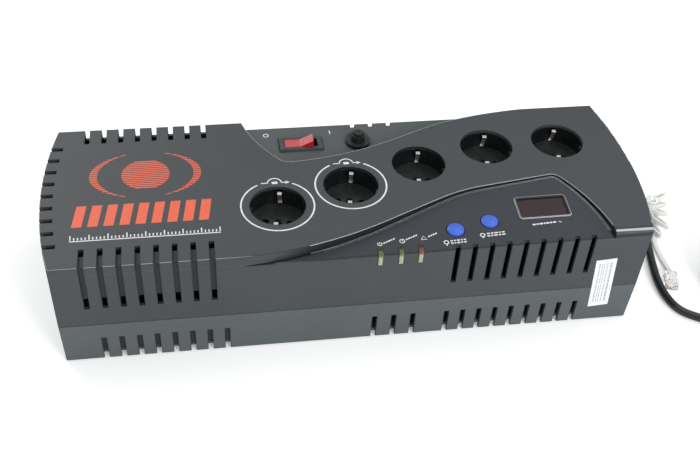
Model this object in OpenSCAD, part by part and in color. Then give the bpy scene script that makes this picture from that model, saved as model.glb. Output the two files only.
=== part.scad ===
// Desktop voltage stabilizer: a long moulded case with five earthed sockets, a sunken control
// panel behind a swooping groove, a switch recess at the rear, and vents on every side.
// Millimetres, +Z up. The origin is on the table under the middle of the case.

/* [Case] */
// Length of the case, corner to corner
case_l = 450; // [440:2:500]
// Depth of the case, front to back
case_w = 158; // [154:1:175]
// Height of the case with its feet
case_h = 100; // [96:1:120]
// How far each end bows out beyond its corners
end_bulge = 9.3; // [6:0.1:14]
// Thickness of the moulded walls
wall = 2.6; // [2:0.1:3.2]
// Height of the parting line between tray and cover
split_z = 40; // [36:1:46]
// Radius along the top edges
edge_r = 1.2; // [0.6:0.1:2]
// Width of the rolled front edge right of the control panel
roll_w = 6; // [3:0.5:9]
// Drop of that rolled edge
roll_drop = 3; // [1:0.5:4]

/* [Control panel] */
// Drop of the control panel below the top, at the middle of the front edge
panel_drop = 6.9; // [5:0.1:8]
// Rise of the panel towards the back, in degrees
panel_tilt = 3.15; // [2:0.05:3.6]
// Rise of the panel towards the right, in degrees
panel_lean = 0.61; // [0:0.01:0.9]
// Width of the groove round the panel
groove_w = 2.2; // [1.4:0.1:3]
// Depth of that groove below the panel
groove_d = 1.4; // [0.6:0.1:2]
// Where the panel's edge leaves the front, from the middle
panel_start_x = -88; // [-96:1:-80]

/* [Switch recess] */
// Depth of the recess at the rear
recess_d = 8; // [6:0.5:9]
// Where the recess meets the rear edge, from the middle
recess_start_x = -78; // [-84:1:-74]

/* [Sockets] */
// Width of a socket recess
socket_d = 43; // [42:0.5:44]
// Depth of a socket recess
socket_deep = 17.5; // [16:0.5:19]
// Distance between the pin holes
pin_pitch = 19; // [18:0.5:20]
// Width of a pin hole
pin_hole_d = 5.4; // [5:0.1:6]

/* [Vents] */
// Width of a vent slot
slot_w = 3.9; // [3:0.1:4.6]
// Distance from slot to slot in the side groups
slot_pitch = 13.25; // [12:0.05:13.3]
// Distance from slot to slot in the end group
end_slot_pitch = 13.85; // [12.5:0.05:14]
// Distance from slot to slot in the middle group
mid_slot_pitch = 15.4; // [14:0.1:16]
// Height of the lower end of the cover's slots
slot_low_z = 57.8; // [54:0.2:66]
// Height of the upper end of the tray's slots
base_slot_z = 24.4; // [18:0.2:30]

/* [Switch and breaker] */
// Length of the rocker switch's frame
bezel_l = 37; // [35:0.5:40]
// Width of that frame
bezel_w = 17; // [16:0.5:19]
// Travel of the rocker, in degrees
rocker_travel = 26; // [20:1:28]
// Width of the breaker's ring nut
nut_d = 20.5; // [18:0.5:22]
// How far the breaker's button pops out
breaker_travel = 4; // [3:0.5:5]

/* [Buttons and display] */
// Width of a push button
button_d = 13.5; // [12:0.5:15]
// Travel of a push button
button_travel = 1.2; // [0.8:0.1:1.4]
// Length of the display's frame
display_l = 41; // [38:0.5:44]
// Depth of the display's frame
display_w = 23; // [21:0.5:25]
// Width of a light pipe
pipe_w = 3.5; // [2.5:0.1:4]

/* [Leads] */
// Width of the mains lead
mains_d = 7; // [6.5:0.1:7.2]
// Width of the telephone lead
phone_d = 3.2; // [3:0.1:3.3]

/* [Hidden] */

// Fineness of round parts, and the flats that stand in for a swept curve
$fn = 64;
big_fn = 720;
curve_tol = 0.03;
// Clearances: parts that sit together, parts that slide, and the overrun of every cut
fit = 0.2;
slide = 0.3;
over = 5;

// Frame of the case
front_y = -case_w / 2;
rear_y = case_w / 2;
chord = case_w / 2;
end_r = (chord * chord + end_bulge * end_bulge) / (2 * end_bulge);
end_c = case_l / 2 + end_bulge - end_r;
rim_z = 1;
tray_inset = 0.9;
floor_z = 4.5;
floor_t = 2.6;
floor_top = floor_z + floor_t;
lip_h = 2;
lip_t = wall / 2 - fit / 2;
under_z = case_h - wall;
roll_r = (roll_w * roll_w + roll_drop * roll_drop) / (2 * roll_drop);

// How far the bowed end lies from the middle, at a place across the case
function end_at(y) = end_c + sqrt(end_r * end_r - y * y);

// A chain of arcs and straights: each step is [radius, turn], a straight is [length, 0]. The
// line can be moved aside by off, to the left of its travel.
function turned(p, h, s, off, a) =
  s[1] == 0
    ? p + a * s[0] * [cos(h), sin(h)]
    : let (d = sign(s[1]), r = s[0] - d * off, g = h + a * s[1])
      p + d * r * [sin(g) - sin(h), cos(h) - cos(g)];
function flats(s) = s[1] == 0 ? 1 : max(2, ceil(abs(s[1]) / (2 * acos(1 - curve_tol / s[0]))));
function walk(p, h, steps, off, i) =
  i >= len(steps)
    ? [p]
    : let (s = steps[i], n = flats(s))
      concat([for (k = [0:n - 1]) turned(p, h, s, off, k / n)],
        walk(turned(p, h, s, off, 1), h + s[1], steps, off, i + 1));
function chain(p, h, steps, off) = walk(p + off * [-sin(h), cos(h)], h, steps, off, 0);

// Edge of the control panel: off the front edge, up a long sweep, over a crest and down
sweep_heading = 3.5;
sweep_r = 300;
sweep_turn = 21.5;
climb_l = 54.6;
crest_r = 130;
crest_turn = -16;
run_l = 58;
corner_r = 8;
corner_turn = -64;
drop_r = 148;
drop_turn = -28;
tail_l = 14;
panel_lead = 8;
panel_steps = [[panel_lead, 0], [sweep_r, sweep_turn], [climb_l, 0], [crest_r, crest_turn],
  [run_l, 0], [corner_r, corner_turn], [drop_r, drop_turn], [tail_l, 0]];
panel_from = [panel_start_x, front_y] - panel_lead * [cos(sweep_heading), sin(sweep_heading)];

// Edge of the switch recess: in from the rear edge, round a tight corner and back out
recess_heading = -74;
enter_r = 130;
enter_turn = 24;
short_l = 2.5;
tight_r = 12;
tight_turn = 54;
long_r = 255;
long_turn = 20;
slant_l = 30;
ease_r = 165;
ease_turn = -10.5;
fade_r = 400;
fade_turn = -9;
fade_l = 60;
recess_lead = 10;
recess_steps = [[recess_lead, 0], [enter_r, enter_turn], [short_l, 0], [tight_r, tight_turn],
  [long_r, long_turn], [slant_l, 0], [ease_r, ease_turn], [fade_r, fade_turn], [fade_l, 0]];
recess_from = [recess_start_x, rear_y]
  - recess_lead * [cos(recess_heading), sin(recess_heading)];
recess_z = case_h - recess_d;

// Sockets, as shares of the case's length and of its depth from the front
socket_x_shares = [-0.1273, 0.0038, 0.133, 0.2664, 0.4024];
socket_y_shares = [0.3374, 0.4566, 0.588, 0.6923, 0.7078];
socket_turn = -10;
insert_t = 1.8;
insert_floor = 2.4;
insert_flange = 5;
insert_flange_t = 1.8;
rib_w = 4.6;
rib_d = 1.5;
rib_drop = 3;
clip_w = 3.3;
clip_t = 0.8;
clip_in = 6;
clip_lip = 3;
clip_bend_share = 0.8;
screw_d = 3;
screw_head_d = 6;
screw_head_h = 1.8;
screw_l = 12;
contact_d = 7;
contact_l = 12;
bar_w = 5;
bar_t = 1;
bar_side = 7.2;
live_drop = 5;
cup_top = under_z - fit / 2;
cup_floor = case_h - socket_deep;
cup_under = cup_floor - insert_floor;
function socket_at(i) = [socket_x_shares[i] * case_l, front_y + socket_y_shares[i] * case_w];
function pin_at(i, s) = socket_at(i) + s * pin_pitch / 2 * [cos(socket_turn), sin(socket_turn)];

// Vent groups: middle of the first slot, and how far the slots run onto the top
left_slots = 8;
right_slots = 9;
end_slots = 9;
mid_slots = 3;
left_slot_x = -0.4486 * case_l;
right_slot_x = 0.161 * case_l;
mid_slot_x = 0.0306 * case_l;
rear_mid_x = 0.035 * case_l;
end_slot_y = front_y + 0.1505 * case_w;
end_slot_w = 3.9;
base_left_x = -0.4306 * case_l;
base_right_x = 0.1593 * case_l;
left_slot_run = 19;
right_slot_run = 3;
rear_slot_run = 18;
rear_slot_drop = 8;
end_slot_run = 9.5;
recess_slot_run = 4;
guard_t = 1.5;
guard_open_top = 4.3;
guard_open_low = 8;
guard_margin = 3;
guard_low_margin = 7;
guard_end = left_slot_x + (left_slots - 1) * slot_pitch + slot_w / 2 + guard_margin;

// Posts that the case screws run up into: one near each corner, one right of the guard and one
// right of the light pipes
post_end_share = 0.474;
post_side_share = 0.057;
post_clear = 6;
pipe_clear = 10.5;
post_d = 8;
post_bore = 2.6;
case_screw_d = 2.5;
case_screw_l = 22;
case_head_d = 6;
case_head_h = 2;
post_gap = 0.3;
post_well = 24;

// Rocker switch
switch_x = -30.3;
switch_in = 23.5;
switch_y = rear_y - switch_in;
bezel_h = 2;
bezel_slope = 1;
housing_w = 13;
housing_l = 31;
housing_deep = 18;
rocker_l = 26.4;
rocker_w = 9.4;
rocker_window_l = 27;
pivot_drop = 5;
pivot_pin_d = 2.4;
pivot_pin_l = 1;
rocker_foot = 4;
rocker_waist = 10.5;
pin_play = 0.05;
blade_w = 4.8;
blade_t = 0.8;
blade_l = 8;
blade_pitch = 9;
pivot_z = recess_z + bezel_h - pivot_drop;

// Breaker
breaker_x = 17;
breaker_in = 23.6;
breaker_y = rear_y - breaker_in;
bush_d = 11.5;
bush_h = 8.4;
nut_h = 3;
nut_ribs = 24;
nut_rib_d = 1;
breaker_button_d = 7.4;
breaker_button_h = 2;
breaker_bore_l = 20;
breaker_box = [16, 24, 26];
breaker_blade_l = 9;

// Control panel's own parts, placed on the panel
left_button_at = [74.3, 19];
right_button_at = [102.2, 25];
button_h = 2.1;
button_dome = 16;
button_flange = 1.4;
button_gap = 0.5;
button_flange_t = 1.2;
stem_d = 4;
board_drop = 13;
board_t = 1.6;
key_side = 6;
key_h = 3.6;
plunger_d = 3.4;
plunger_in = 1.9;
plunger_up = 0.5;
display_at = [147.4, 36.5];
display_wall = 2;
display_rise = 0.8;
display_r = 2.5;
window_t = 2;
window_sunk = 0.3;
module_l = 36;
module_w = 18;
pipe_x = [14, 29.6, 44.6];
pipe_run = 6.5;
pipe_reach = 18;
pipe_low_z = case_h - pipe_reach;
pipe_t = 2;
pipe_proud = 0.25;
pipe_stem_d = 3;
lamp_d = 3;
lamp_h = 4;
board_x0 = 8;
board_x1 = 190;
board_y0 = 13.6;
board_y1 = 47;
board_post_at = [[22, 38], [60, 40], [122, 42], [184, 19]];
board_post_d = 6;
board_screw_d = 2.2;
board_screw_l = 7;
board_head_d = 4.4;
board_head_h = 1.6;

// Main board in the tray
main_x0 = -0.178 * case_l;
main_x1 = 0.378 * case_l;
main_front = 20;
main_rear = 30;
main_y0 = front_y + main_front;
main_y1 = rear_y - main_rear;
main_z = 15;
main_t = 1.6;
standoff_d = 7;
standoff_in = 8;
relay = [15.5, 19, 15.8];
relay_pitch = 0.049 * case_l;
relay_x = 0;
relay_y = -36;
cap_d = 12.5;
cap_h = 25;
cap_x = 0.262 * case_l;
cap_y = -38;
cap_pitch = 0.04 * case_l;
block = [48, 16, 18];
block_at = [-0.1333 * case_l, -45];
supply = [32, 28, 24];
supply_at = [0.262 * case_l, 18];

// Transformer at the left
core = [96, 50, 80];
core_at = [-0.342 * case_l, 0];
core_leg = 32;
core_yoke = 16;
winding_gap = 1;
winding_out = 14;
frame_t = 2;
frame_foot = 14;
frame_screw_d = 5;
frame_nut_h = 4;
frame_head_h = 3;
frame_screw_up = 6;

// Feet
foot_d = 14;
foot_x_share = 0.42;
foot_y_share = 0.33;
foot_dish_d = 6;
foot_dish = 1.5;
foot_screw_h = 1.5;

// Strain relief, telephone jack and plugs
relief_in = 57;
relief_y = rear_y - relief_in;
relief_z = 11;
relief_l = 20;
relief_d = 13;
relief_tip_d = 10;
relief_flange_d = 16;
relief_flange_t = 2;
relief_ribs = 4;
relief_rib = 0.7;
relief_neck_d = 11;
jack_in = 32;
jack_y = rear_y - jack_in;
jack_z = 26;
jack_l = 32;
jack_h = 14;
jack_deep = 18;
port_pitch = 15;
port_w = 10.3;
port_h = 7.4;
port_deep = 13;
plug_w = 9.7;
plug_h = 6.6;
plug_l = 16.5;
plug_in = 8;
latch_w = 6;
latch_t = 1.2;
latch_drop = 0.4;
plug_end_drop = 2;
contact_share = 0.6;
gold_w = 0.5;
relief_x = end_at(relief_y);
jack_x = end_at(jack_y + jack_l / 2);
port_y = jack_y - port_pitch / 2;

// Mains lead: first stretch, coil and last stretch, with places along its middle
mains_path = [[262, 21.5, 10], [269, 17.5, 7.5], [273.5, 10, 5], [274.5, 1, 3.7],
  [272, -9.5, 3.7], [268.6, -27, 3.7], [266.2, -45, 3.7], [266.8, -63, 3.7], [272.5, -79, 3.7],
  [286.3, -89.8, 3.7], [302, -96, 3.7], [320, -99.5, 3.7]];
coil_at = [352, -58, 3.7];
coil_out = 42.5;
coil_pitch = 7.45;
coil_layers = 4;
coil_turns = 1.3125;
coil_rings = 24;
coil_sides = 6;
coil_start = -90;
climb_half = 0.25;
lead_sides = 10;
lead_steps = 2;
mains_tail_path = [[396, -34, 24], [397.4, -22, 21.2]];

// Mains plug lying behind the coil
plug_at = [398, -8, 20];
plug_disc_d = 39;
plug_disc_l = 10;
plug_neck_d = 12;
plug_neck_l = 14;
plug_waist_d = 27;
plug_waist_l = 16;
plug_pin_d = 4.8;
plug_pin_l = 19;
plug_notch_w = 6;
plug_notch_d = 2.5;

// Telephone lead: feed, hank, tail and plugs
hank_at = [283, 35, 3];
hank_turn = -25;
hank_left = 21;
hank_right = 21;
hank_right_shares = [1, 1.42, 1.25, 0.86, 0.8, 0.95];
hank_swing = [-65, -56, -36, -8, 22, 48];
hank_waist = 2.3;
hank_belly = 1;
hank_step = 3.9;
hank_from = 0.25;
hank_to = 5.25;
hank_rings = 36;
swing_from = 4;
swing_reach = 7;
tie_w = 4;
tie_t = 1;
phone_sides = 8;
feed_path = [[249, 40.6, 25.8], [257, 41.6, 25.4], [266, 39.9, 24.2]];
phone_path = [[290.5, 24, 1.9], [289, 14.5, 1.9], [283.5, 7, 1.9],
  [281.4, -2, 1.9], [281, -13, 1.9], [281, -23, 2.2], [280.9, -30, 3]];
free_plug_at = [280, -37.5, 3.6];
free_turn = -12;

// Box between two corners
module span(a, b) {
  translate(a) cube(b - a);
}

// Round bar between two heights
module post(at, d, z0, z1) {
  translate([at[0], at[1], z0]) cylinder(d = d, h = z1 - z0);
}

// Flat plate with round corners, centred, from its lower face up
module soft_plate(l, w, h, r) {
  translate([-l / 2, -w / 2 + r, 0]) cube([l, w - 2 * r, h]);
  translate([-l / 2 + r, -w / 2, 0]) cube([l - 2 * r, w, h]);
  for (sx = [-1, 1], sy = [-1, 1])
    translate([sx * (l / 2 - r), sy * (w / 2 - r), 0]) cylinder(r = r, h = h);
}

// Half profile with a rounded upper outer corner, from the axis out
module edge_profile(x, z0, z1, r) {
  translate([0, z0]) square([x - r, z1 - z0]);
  translate([0, z0]) square([x, z1 - r - z0]);
  translate([x - r, z1 - r]) circle(r = r);
}

// Slab of the case's outline, moved in by inset, its upper edges rounded by r
module case_slab(inset, z0, z1, r) {
  half = case_w / 2 - inset;
  intersection() {
    rotate([90, 0, 90]) linear_extrude(2 * case_l, center = true) {
      edge_profile(half, z0, z1, r);
      mirror([1, 0]) edge_profile(half, z0, z1, r);
    }
    case_disc(1, inset, z0, z1, r);
    case_disc(-1, inset, z0, z1, r);
  }
}
module case_disc(s, inset, z0, z1, r) {
  translate([s * end_c, 0, 0])
    rotate_extrude($fn = big_fn) edge_profile(end_r - inset, z0, z1, r);
}

// Slab with plain edges
module plain_slab(inset, z0, z1) {
  intersection() {
    span([-case_l, front_y + inset, z0], [case_l, rear_y - inset, z1]);
    translate([end_c, 0, z0]) cylinder(r = end_r - inset, h = z1 - z0, $fn = big_fn);
    translate([-end_c, 0, z0]) cylinder(r = end_r - inset, h = z1 - z0, $fn = big_fn);
  }
}

// Slab whose sides lean in towards the floor
module draft_slab(inset, z0, z1) {
  half = case_w / 2;
  intersection() {
    rotate([90, 0, 90]) linear_extrude(2 * case_l, center = true)
      polygon([[-half + inset, z0], [half - inset, z0], [half, z1], [-half, z1]]);
    translate([end_c, 0, z0])
      cylinder(r1 = end_r - inset, r2 = end_r, h = z1 - z0, $fn = big_fn);
    translate([-end_c, 0, z0])
      cylinder(r1 = end_r - inset, r2 = end_r, h = z1 - z0, $fn = big_fn);
  }
}

// The control panel's plane: x from the middle, y from the front edge, z up from the panel
module on_panel() {
  translate([0, front_y, case_h - panel_drop]) rotate([panel_tilt, -panel_lean, 0]) children();
}
module under_panel(d) {
  on_panel() span([-case_l, -case_w, -case_h], [case_l, 2 * case_w, d]);
}
module over_panel(d) {
  on_panel() span([-case_l, -case_w, d], [case_l, 2 * case_w, case_h]);
}

// Everything in front of the panel's edge, moved in by off
module panel_area(off, z0, z1) {
  line = chain(panel_from, sweep_heading, panel_steps, -off);
  last = line[len(line) - 1];
  far = front_y - panel_lead - tail_l;
  translate([0, 0, z0]) linear_extrude(z1 - z0)
    polygon(concat(line, [[last[0], far], [line[0][0], far]]));
}

// Everything behind the recess's edge, moved in by off
module recess_area(off, z0, z1) {
  line = chain(recess_from, recess_heading, recess_steps, off);
  last = line[len(line) - 1];
  far = rear_y + recess_lead + over;
  translate([0, 0, z0]) linear_extrude(z1 - z0)
    polygon(concat(line, [[last[0], far], [line[0][0], far]]));
}

// Vent slots
module front_slots(x0, n, pitch, run, z0, z1) {
  for (i = [0:n - 1])
    translate([x0 + i * pitch - slot_w / 2, front_y - over, z0])
      cube([slot_w, run + over, z1 - z0]);
}
module rear_slots(x0, n, pitch, run, z0, z1) {
  for (i = [0:n - 1])
    translate([x0 + i * pitch - slot_w / 2, rear_y - run, z0])
      cube([slot_w, run + over, z1 - z0]);
}
module left_end_slots(z0, z1) {
  for (i = [0:end_slots - 1]) {
    y = end_slot_y + i * end_slot_pitch;
    far = end_at(y) + over;
    translate([-far, y - end_slot_w / 2, z0])
      cube([far - end_at(y) + end_slot_run, end_slot_w, z1 - z0]);
  }
}

// Posts of the case screws, front and rear
function post_places() = [for (x = [-post_end_share * case_l, guard_end + post_clear + post_d / 2,
  pipe_x[2] + pipe_w / 2 + pipe_clear + post_d / 2, post_end_share * case_l]) for (s = [-1, 1])
  [x, s * (case_w / 2 - post_side_share * case_w)]];

// Top cover: one moulding with the sunken panel, its groove, the rear recess, the socket
// holes, the display's raised frame and the vents
module cover_skin() {
  difference() {
    case_slab(0, split_z, case_h, edge_r);
    difference() {
      plain_slab(wall, split_z - over, under_z);
      intersection() {
        panel_area(-wall, split_z, case_h);
        over_panel(-groove_d - wall);
      }
      recess_area(-wall, recess_z - wall, case_h);
    }
    intersection() {
      plain_slab(wall, split_z - over, under_z);
      panel_area(groove_w + wall, split_z, case_h);
      under_panel(-wall);
    }
    plain_slab(wall - lip_t, split_z - over, split_z + lip_h + fit);
  }
}
module cover_posts() {
  for (p = post_places()) post(p, post_d, split_z + post_gap, under_z + fit);
  intersection() {
    on_panel() for (p = board_post_at) post(p, board_post_d, -board_drop, board_drop);
    plain_slab(wall, split_z, under_z + fit);
  }
}
module top_cover() {
  color([0.27, 0.28, 0.29]) difference() {
    union() {
      cover_skin();
      cover_posts();
      on_panel() translate([display_at[0], display_at[1], -fit])
        soft_plate(display_l, display_w, display_rise + fit, display_r);
    }
    // panel and groove
    difference() {
      intersection() {
        panel_area(0, split_z, case_h + over);
        over_panel(-groove_d);
      }
      intersection() {
        panel_area(groove_w, split_z, case_h + over);
        under_panel(0);
      }
      on_panel() translate([display_at[0], display_at[1], -fit])
        soft_plate(display_l, display_w, display_rise + fit, display_r);
    }
    // rolled front edge on the right
    difference() {
      span([case_l / 4, front_y - over, case_h - roll_drop],
        [case_l, front_y + roll_w, case_h + over]);
      translate([0, front_y + roll_w, case_h - roll_r]) rotate([0, 90, 0])
        cylinder(r = roll_r, h = case_l, $fn = big_fn / 4);
    }
    recess_area(0, recess_z, case_h + over);
    // display window's opening, button holes and light pipe slots
    on_panel() {
      translate([display_at[0], display_at[1], -wall - over])
        cube([display_l - 2 * display_wall, display_w - 2 * display_wall, 4 * over],
          center = true);
      for (p = [left_button_at, right_button_at])
        post(p, button_d + 2 * button_gap, -2 * over, over);
    }
    for (x = pipe_x)
      span([x - pipe_w / 2 - fit, front_y - over, pipe_low_z - fit],
        [x + pipe_w / 2 + fit, front_y + pipe_run + fit, case_h]);
    // socket holes, switch opening and breaker hole
    for (i = [0:len(socket_x_shares) - 1]) post(socket_at(i), socket_d, under_z - over, case_h + over);
    translate([switch_x, switch_y, recess_z])
      cube([housing_l + 2 * fit, housing_w + 2 * fit, 4 * over], center = true);
    post([breaker_x, breaker_y], bush_d + 2 * fit, recess_z - 2 * over, case_h);
    // vents
    front_slots(left_slot_x, left_slots, slot_pitch, left_slot_run, slot_low_z, case_h + over);
    front_slots(right_slot_x, right_slots, slot_pitch, right_slot_run, slot_low_z, case_h + over);
    rear_slots(left_slot_x, left_slots, slot_pitch, rear_slot_run, case_h - rear_slot_drop,
      case_h + over);
    rear_slots(rear_mid_x, mid_slots, mid_slot_pitch, recess_slot_run, slot_low_z, case_h + over);
    left_end_slots(slot_low_z, case_h + over);
    // screw bores
    for (p = post_places()) post(p, post_bore, split_z - over, split_z + case_screw_l / 2);
    on_panel() for (p = board_post_at)
      post(p, board_screw_d + 2 * pin_play, -board_drop - over, -board_drop + board_screw_l);
  }
}

// Bottom tray: skirt, raised floor, lip into the cover, screw wells and standoffs
module bottom_tray() {
  color([0.31, 0.33, 0.34]) difference() {
    union() {
      difference() {
        draft_slab(tray_inset, rim_z, split_z);
        plain_slab(wall + tray_inset, floor_top, split_z + over);
        plain_slab(wall + tray_inset, rim_z - over, floor_z);
      }
      difference() {
        plain_slab(wall - lip_t + fit, split_z - wall, split_z + lip_h);
        plain_slab(wall + tray_inset, split_z - wall - over, split_z + over);
      }
      for (p = post_places()) post(p, post_d, floor_z + fit, split_z);
      for (x = [main_x0 + standoff_in, main_x1 - standoff_in])
        for (y = [main_y0 + standoff_in, main_y1 - standoff_in])
          post([x, y], standoff_d, floor_z + fit, main_z);
    }
    for (p = post_places()) {
      post(p, case_head_d + 2 * slide, rim_z - over, split_z - case_screw_l / 2);
      post(p, case_screw_d + 2 * slide, rim_z, split_z + over);
    }
    front_slots(base_left_x, left_slots, slot_pitch, wall + tray_inset + fit, rim_z - over,
      base_slot_z);
    front_slots(mid_slot_x, mid_slots, mid_slot_pitch, wall + tray_inset + fit, rim_z - over,
      base_slot_z);
    front_slots(base_right_x, right_slots, slot_pitch, wall + tray_inset + fit, rim_z - over,
      base_slot_z);
    rear_slots(base_left_x, left_slots, slot_pitch, wall + tray_inset + fit, rim_z - over,
      base_slot_z);
    rear_slots(base_right_x, right_slots, slot_pitch, wall + tray_inset + fit, rim_z - over,
      base_slot_z);
    translate([jack_x, jack_y, jack_z])
      cube([4 * over, jack_l + 2 * fit, jack_h + 2 * fit], center = true);
    translate([relief_x, relief_y, relief_z]) rotate([0, 90, 0])
      cylinder(d = relief_neck_d + 2 * fit, h = 4 * over, center = true);
    for (x = frame_screw_x(), s = [-1, 1])
      post([x, s * frame_screw_y()], frame_screw_d + 2 * slide, floor_z - over, floor_top + over);
  }
}

// Guard behind the front left vents: an angle that closes them but for both ends
module vent_guard() {
  x0 = left_slot_x - slot_w / 2 - guard_margin;
  x1 = guard_end;
  y0 = front_y + wall + fit;
  z1 = under_z - fit;
  color([0.36, 0.37, 0.38]) {
    span([x0, y0, slot_low_z + guard_open_low], [x1, y0 + guard_t, z1]);
    span([x0, y0, z1 - guard_t], [x1, front_y + left_slot_run - guard_open_top, z1]);
  }
}

// Guard behind the tray's left slots
module tray_guard() {
  x0 = base_left_x - slot_w / 2 - guard_margin;
  x1 = post_places()[2][0] - post_d / 2 - slide;
  y0 = front_y + wall + tray_inset + 2 * fit;
  color([0.36, 0.37, 0.38])
    span([x0, y0, floor_top], [x1, y0 + guard_t, base_slot_z + guard_low_margin]);
}

// Socket insert: a deep cup under the cover's hole, with a flange, guide ribs at the sides,
// slots for the earth clip at front and rear, pin holes and a boss round the screw
module socket_insert(i) {
  r = socket_d / 2;
  at = socket_at(i);
  color([0.07, 0.07, 0.08]) translate([at[0], at[1], 0]) rotate(socket_turn) {
    difference() {
      union() {
        translate([0, 0, cup_under]) cylinder(r = r + insert_t, h = cup_top - cup_under);
        translate([0, 0, cup_top - insert_flange_t])
          cylinder(r = r + insert_flange, h = insert_flange_t);
      }
      translate([0, 0, cup_floor]) cylinder(r = r, h = cup_top);
      for (s = [-1, 1]) {
        translate([s * pin_pitch / 2, 0, 0]) cylinder(d = pin_hole_d, h = case_h);
        translate([-clip_w / 2 - fit, s * (r + insert_t / 2) - insert_t, cup_under - over])
          cube([clip_w + 2 * fit, 2 * insert_t, case_h]);
      }
      cylinder(d = screw_d + fit, h = case_h);
      translate([0, 0, cup_floor - screw_head_h / 2]) cylinder(d = screw_head_d + fit, h = case_h);
    }
    for (s = [-1, 1]) intersection() {
      translate([s * r - rib_d, -rib_w / 2, cup_floor - fit])
        cube([2 * rib_d, rib_w, cup_top - rib_drop - cup_floor + fit]);
      translate([0, 0, cup_under]) cylinder(r = r + insert_t / 2, h = case_h);
    }
  }
}
module socket_insert_1() { socket_insert(0); }
module socket_insert_2() { socket_insert(1); }
module socket_insert_3() { socket_insert(2); }
module socket_insert_4() { socket_insert(3); }
module socket_insert_5() { socket_insert(4); }

// Earth clip: one bent strap under the cup, up through both slots as two leaves that lean
// inwards, each with a lip at its top
module earth_clip(i) {
  r = socket_d / 2;
  at = socket_at(i);
  low = cup_under - fit - clip_t;
  bend = cup_floor + socket_deep * clip_bend_share;
  color([0.75, 0.76, 0.78]) translate([at[0], at[1], 0]) rotate(socket_turn) difference() {
    rotate([90, 0, 90]) linear_extrude(clip_w, center = true) {
      for (s = [0, 1]) mirror([s, 0]) {
        polygon([[0, low], [r + insert_t, low], [r + insert_t, low + clip_t], [0, low + clip_t]]);
        polygon([[r + insert_t - clip_t, low], [r + insert_t, low], [r + insert_t, cup_floor],
          [r + clip_t - clip_in, bend], [r + clip_lip - clip_in, bend],
          [r + clip_lip - clip_in, bend + clip_t], [r + clip_t / 2 - clip_in, bend + clip_t],
          [r - clip_in, bend + clip_t / 2], [r + insert_t - clip_t, cup_floor]]);
      }
    }
    cylinder(d = screw_d + fit, h = case_h);
  }
}
module earth_clip_1() { earth_clip(0); }
module earth_clip_2() { earth_clip(1); }
module earth_clip_3() { earth_clip(2); }
module earth_clip_4() { earth_clip(3); }
module earth_clip_5() { earth_clip(4); }

// Centre screws of the sockets
module socket_screws() {
  for (i = [0:len(socket_x_shares) - 1]) {
    at = socket_at(i);
    color([0.8, 0.8, 0.8]) translate([at[0], at[1], cup_floor - screw_head_h / 2]) difference() {
      union() {
        cylinder(d = screw_head_d - fit, h = screw_head_h);
        translate([0, 0, -screw_l]) cylinder(d = screw_d - fit, h = screw_l + fit);
      }
      for (a = [0, 90]) rotate(a) translate([0, 0, screw_head_h])
        cube([screw_head_d / 2, clip_t, screw_head_h], center = true);
    }
  }
}

// Pin contacts: a tube under each pin hole, tied along the row by a bar at one side
module contact_row(s, low, side) {
  for (i = [0:len(socket_x_shares) - 1]) {
    at = pin_at(i, s);
    difference() {
      union() {
        post(at, contact_d, cup_under - contact_l, cup_under - fit);
        if (side < 0)
          span([at[0] - contact_d / 4, at[1] + side, low], [at[0] + contact_d / 4, at[1], low + bar_t]);
        else post(at, contact_d / 2, low, cup_under - contact_l + bar_t);
      }
      post(at, pin_hole_d - fit, cup_under - contact_l + 2 * bar_t, cup_under + over);
    }
    if (i < len(socket_x_shares) - 1) {
      to = pin_at(i + 1, s);
      run = to - at;
      translate([at[0], at[1] + side, low]) rotate(atan2(run[1], run[0]))
        translate([-bar_w / 2, -bar_w / 2, 0]) cube([norm(run) + bar_w, bar_w, bar_t]);
    }
  }
}
module live_contacts() {
  color([0.78, 0.6, 0.3]) contact_row(-1, cup_under - contact_l - live_drop, 0);
}
module neutral_contacts() {
  color([0.78, 0.6, 0.3]) contact_row(1, cup_under - contact_l, -bar_side);
}

// Rocker switch: a frame with sloping sides over a hollow housing
module switch_housing() {
  top = recess_z + bezel_h;
  color([0.1, 0.1, 0.11]) translate([switch_x, switch_y, 0]) difference() {
    union() {
      intersection() {
        rotate([90, 0, 0]) linear_extrude(bezel_w, center = true)
          polygon([[-bezel_l / 2, recess_z], [bezel_l / 2, recess_z],
            [bezel_l / 2 - bezel_slope, top], [-bezel_l / 2 + bezel_slope, top]]);
        rotate([90, 0, 90]) linear_extrude(bezel_l, center = true)
          polygon([[-bezel_w / 2, recess_z], [bezel_w / 2, recess_z],
            [bezel_w / 2 - bezel_slope, top], [-bezel_w / 2 + bezel_slope, top]]);
      }
      span([-housing_l / 2, -housing_w / 2, recess_z - housing_deep],
        [housing_l / 2, housing_w / 2, recess_z + bezel_h / 2]);
    }
    span([-rocker_window_l / 2, -rocker_w / 2 - slide, recess_z - housing_deep + wall],
      [rocker_window_l / 2, rocker_w / 2 + slide, top + over]);
    translate([0, 0, pivot_z]) rotate([90, 0, 0])
      cylinder(d = pivot_pin_d + 2 * pin_play, h = rocker_w + 2 * slide + 2 * pivot_pin_l,
        center = true);
  }
}

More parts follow.
